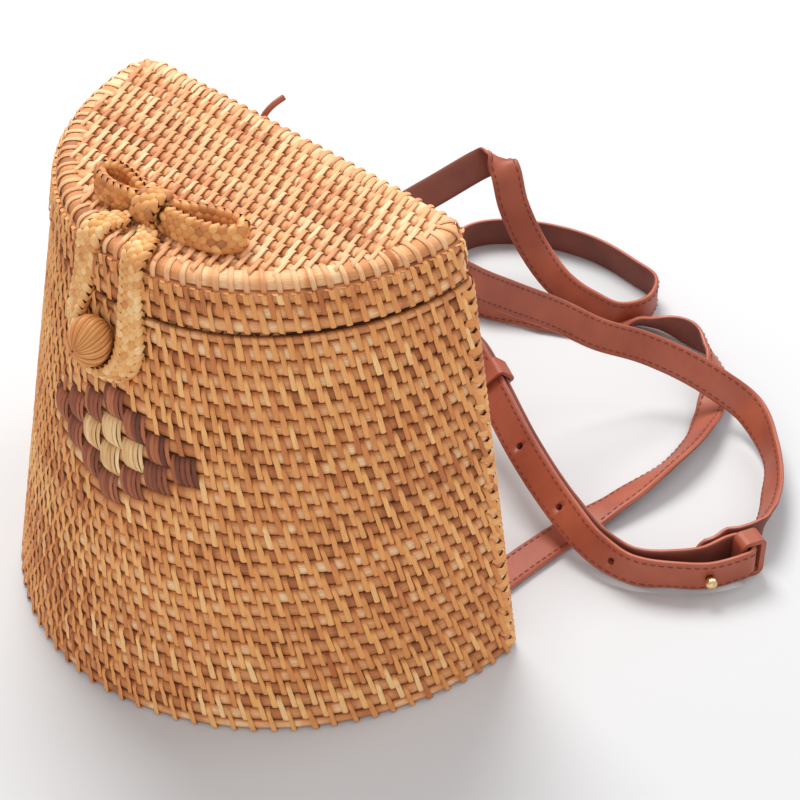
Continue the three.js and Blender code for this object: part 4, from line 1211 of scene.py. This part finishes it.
def bow_frames(towards, length, swing, lean):
    """One loop of the bow: its side, its length and how it swings round and leans."""
    start = KNOT_WIDTH / 2 + CLEARANCE + 0.36 * BOW_OPENING * math.sin(swing)
    rise = BRAID_WIDTH / 2 * math.cos(lean) + BRAID_THICKNESS / 2 * math.sin(lean)
    rows = []
    for along, side in BOW_ROWS:
        x, y = along * length, side * BOW_OPENING
        at = vec(
            towards * (start + x * math.cos(swing) - y * math.sin(swing)),
            KNOT_Y + x * math.sin(swing) + y * math.cos(swing),
            BOW_Z + rise + CLEARANCE,
        )
        rows.append(band_row(at, (0, math.sin(lean), math.cos(lean))))
    return band_frames(rows, 1.2)


BUTTON_WIDTH, BUTTON_HEIGHT = 16.0, 20.0
BUTTON_Z = SEAM_Z - 12.4
LOOP_FOOT_Z = BUTTON_Z - BUTTON_HEIGHT / 2 - 0.47 * BRAID_WIDTH
LOOP_ROWS = [
    (0.79, 0.68, 0.06, 0.22, 0),
    (0.82, 0.69, 0.24, 0.22, 2),
    (0.88, 0.76, 0.44, 0.3, 10),
    (0.96, 0.88, 0.64, 0.43, 25),
    (0.86, 0.82, 0.83, 0.5, 35),
    (0.49, 0.48, 0.955, 0.52, 40),
]


def front_y(x, z):
    """Where the curved front lies, at a place across and a height."""
    half_width, depth = plan_size(z)
    return BACK_Y - depth * math.sqrt(1 - (x / half_width) ** 2)


def closure_frames():
    """The loop's line: from the knot over the lid's edge, round the ball and back."""
    middle_z = BUTTON_Z - 0.1 * BUTTON_HEIGHT

    def side_rows(side):
        rows = []
        for left, right, fall, lift, tilt in LOOP_ROWS:
            x = side * (left if side < 0 else right) * BUTTON_WIDTH
            z = HEIGHT + (LOOP_FOOT_Z - HEIGHT) * fall
            away = unit(vec(x, 0, min(z - middle_z, 0)))
            tilt = math.radians(tilt)
            width = away * math.cos(tilt) + vec(0, math.sin(tilt), 0)
            at = vec(x, front_y(x, z) - lift * BRAID_WIDTH, z)
            rows.append(band_row(at, width))
        return rows

    top_z = HEIGHT + CLEARANCE + BRAID_THICKNESS / 2
    knot_front = KNOT_Y - KNOT_DEPTH / 2

    def top_rows(side):
        x = side * LOOP_ROWS[0][0 if side < 0 else 1] * BUTTON_WIDTH
        near = vec(0.67 * x, knot_front - RIM_SIZE / 2, top_z + 0.2)
        edge = vec(0.97 * x, TOP_FRONT_Y - 1.6, HEIGHT - 1.4)
        start = vec(0.35 * x, knot_front - 1, top_z + 0.7)
        return [
            band_row(start, (side, 0.5, 0), 0.55),
            band_row(near, (side, 0.4, 0), 0.8),
            band_row(vec(0.91 * x, TOP_FRONT_Y + 2.2, top_z), (side, 0.1, 0)),
            band_row(edge, (side, 0, 0)),
        ]

    foot_y = front_y(0, LOOP_FOOT_Z) - 0.53 * BRAID_WIDTH
    foot = band_row(vec(0, foot_y, LOOP_FOOT_Z), (0, math.sin(0.7), -math.cos(0.7)))
    left = top_rows(-1) + side_rows(-1)
    right = side_rows(1)[::-1] + top_rows(1)[::-1]
    return band_frames(left + [foot] + right, 1.2)


def bow():
    """The bow's two loops, the closing loop and the knot, as plaits."""
    left = bow_frames(-1, 24.0, math.radians(4), math.radians(4))
    right = bow_frames(1, 30.0, math.radians(18), math.radians(24))
    bow_width = BRAID_WIDTH - 1.2
    plait("plait_bow_left", left, bow_width, PLAIT_THICKNESS, "bow_loop_left", shade=0.42)
    plait("plait_bow_right", right, bow_width, PLAIT_THICKNESS, "bow_loop_right", shade=0.42)
    closure_width = BRAID_WIDTH - 1.0
    frames = closure_frames()
    plait("plait_closure", frames, closure_width, PLAIT_THICKNESS, "closure_loop", shade=0.7)
    turn = np.linspace(0, 2 * math.pi, 33)
    centre = np.stack(
        [
            np.zeros_like(turn),
            KNOT_Y + (KNOT_DEPTH / 2 - 1.2) * np.cos(turn),
            BOW_Z + KNOT_HEIGHT / 2 + (KNOT_HEIGHT / 2 - 1.2) * np.sin(turn),
        ],
        axis=1,
    )
    along = unit(np.gradient(centre, axis=0))
    frames = {
        "point": centre,
        "across": np.tile(vec(1, 0, 0), (len(turn), 1)),
        "share": np.ones(len(turn)),
        "run": np.concatenate([[0], np.linalg.norm(np.diff(centre, axis=0), axis=1).cumsum()]),
    }
    frames["out"] = np.cross(along, frames["across"])
    plait("plait_knot", frames, KNOT_WIDTH - 0.4, 2.2, "bow_knot", shade=0.45)


bow()


BALL_STRIPS = 32


def ball():
    """Strips of cane that run from the ball's pole to its shank, over a core."""
    wall_y = front_y(0, BUTTON_Z - 2.4 * BUTTON_HEIGHT / BUTTON_WIDTH)
    centre = vec(0, wall_y - CLEARANCE - 1.6 - BUTTON_WIDTH / 2, BUTTON_Z)
    v = np.linspace(0.02, 0.93, 17)
    rows = []
    radii = vec(BUTTON_WIDTH / 2, BUTTON_WIDTH / 2, BUTTON_HEIGHT / 2) - 0.5
    polar = math.pi * v
    for i in range(BALL_STRIPS):
        spin = 2 * math.pi * i / BALL_STRIPS + 0.5 * v
        direction = np.stack(
            [np.sin(polar) * np.cos(spin), -np.cos(polar), np.sin(polar) * np.sin(spin)], axis=1
        )
        normal = unit(direction / radii)
        point = centre + direction * (radii + 0.5 + 0.2 * (i % 2))
        along = unit(np.gradient(point, axis=0))
        side = unit(np.cross(normal, along))
        wide = 0.84 * np.maximum(np.sin(polar), 0.2)
        rows.append((point, side * wide[:, None], normal))
    centre_line, across, normal = stacked(rows)
    tone = single_tones(len(rows), 0.42, 0.08)
    strands("ball_strips", centre_line, -across, normal, tone, PLAIT, "basket", "braid", crown=0.35)
    dress(["ball_button"], PLAIT)


ball()

# Camera, floor and light


CAMERA_AT = (0.5148, -0.4410, 0.6932)  # in metres
CAMERA_RIGHT = (0.738, 0.675, 0.0)
CAMERA_BACK = (0.509, -0.557, 0.657)
LENS = 102.2
SENSOR = 36.0


def place_camera():
    """The camera as it was fitted to the photo."""
    data = bpy.data.cameras.new("camera")
    data.sensor_width = SENSOR
    data.lens = LENS
    camera = bpy.data.objects.new("camera", data)
    bpy.context.scene.collection.objects.link(camera)
    right = Vector(CAMERA_RIGHT).normalized()
    back = Vector(CAMERA_BACK).normalized()
    turn = Matrix((right, back.cross(right), back)).transposed().to_4x4()
    camera.matrix_world = Matrix.Translation(CAMERA_AT) @ turn
    bpy.context.scene.camera = camera


def floor_material():
    material, tree, shader = new_material("pale_floor", 0.7, 0.2)
    clouded_colour(tree, shader, {"Scale": 3.0}, (207, 208, 210), (210, 211, 213))
    return material


def make_floor():
    bpy.ops.mesh.primitive_plane_add(size=8.0)
    floor = bpy.context.active_object
    floor.name = "floor"
    floor.data.materials.append(floor_material())


def area_light(name, position, target, size, power, colour):
    data = bpy.data.lights.new(name, "AREA")
    data.shape = "DISK"
    data.size = size
    data.energy = power
    data.color = colour
    light = bpy.data.objects.new(name, data)
    light.location = position
    aim = Vector(target) - Vector(position)
    light.rotation_euler = aim.to_track_quat("-Z", "Y").to_euler()
    bpy.context.scene.collection.objects.link(light)


# Name, position, target, size, power and colour, in metres and watts
LIGHTS = (
    ("key", (-0.7, 0.55, 1.35), (0.0, 0.02, 0.08), 0.8, 23, (1.0, 0.985, 0.96)),
    ("fill", (0.7, -1.0, 0.6), (0.0, 0.0, 0.1), 1.0, 4, (1, 1, 1)),
    ("back", (0.5, 1.2, 1.0), (0.0, 0.1, 0.05), 0.9, 5, (1, 1, 1)),
)
WORLD_STRENGTH = 0.62


def light_scene():
    for light in LIGHTS:
        area_light(*light)
    world = bpy.data.worlds.new("world")
    world.use_nodes = True
    background = world.node_tree.nodes["Background"]
    feed(world.node_tree, background, {"Color": (1, 1, 1, 1), "Strength": WORLD_STRENGTH})
    bpy.context.scene.world = world
    bpy.context.scene.view_settings.view_transform = "Standard"


place_camera()
make_floor()
light_scene()
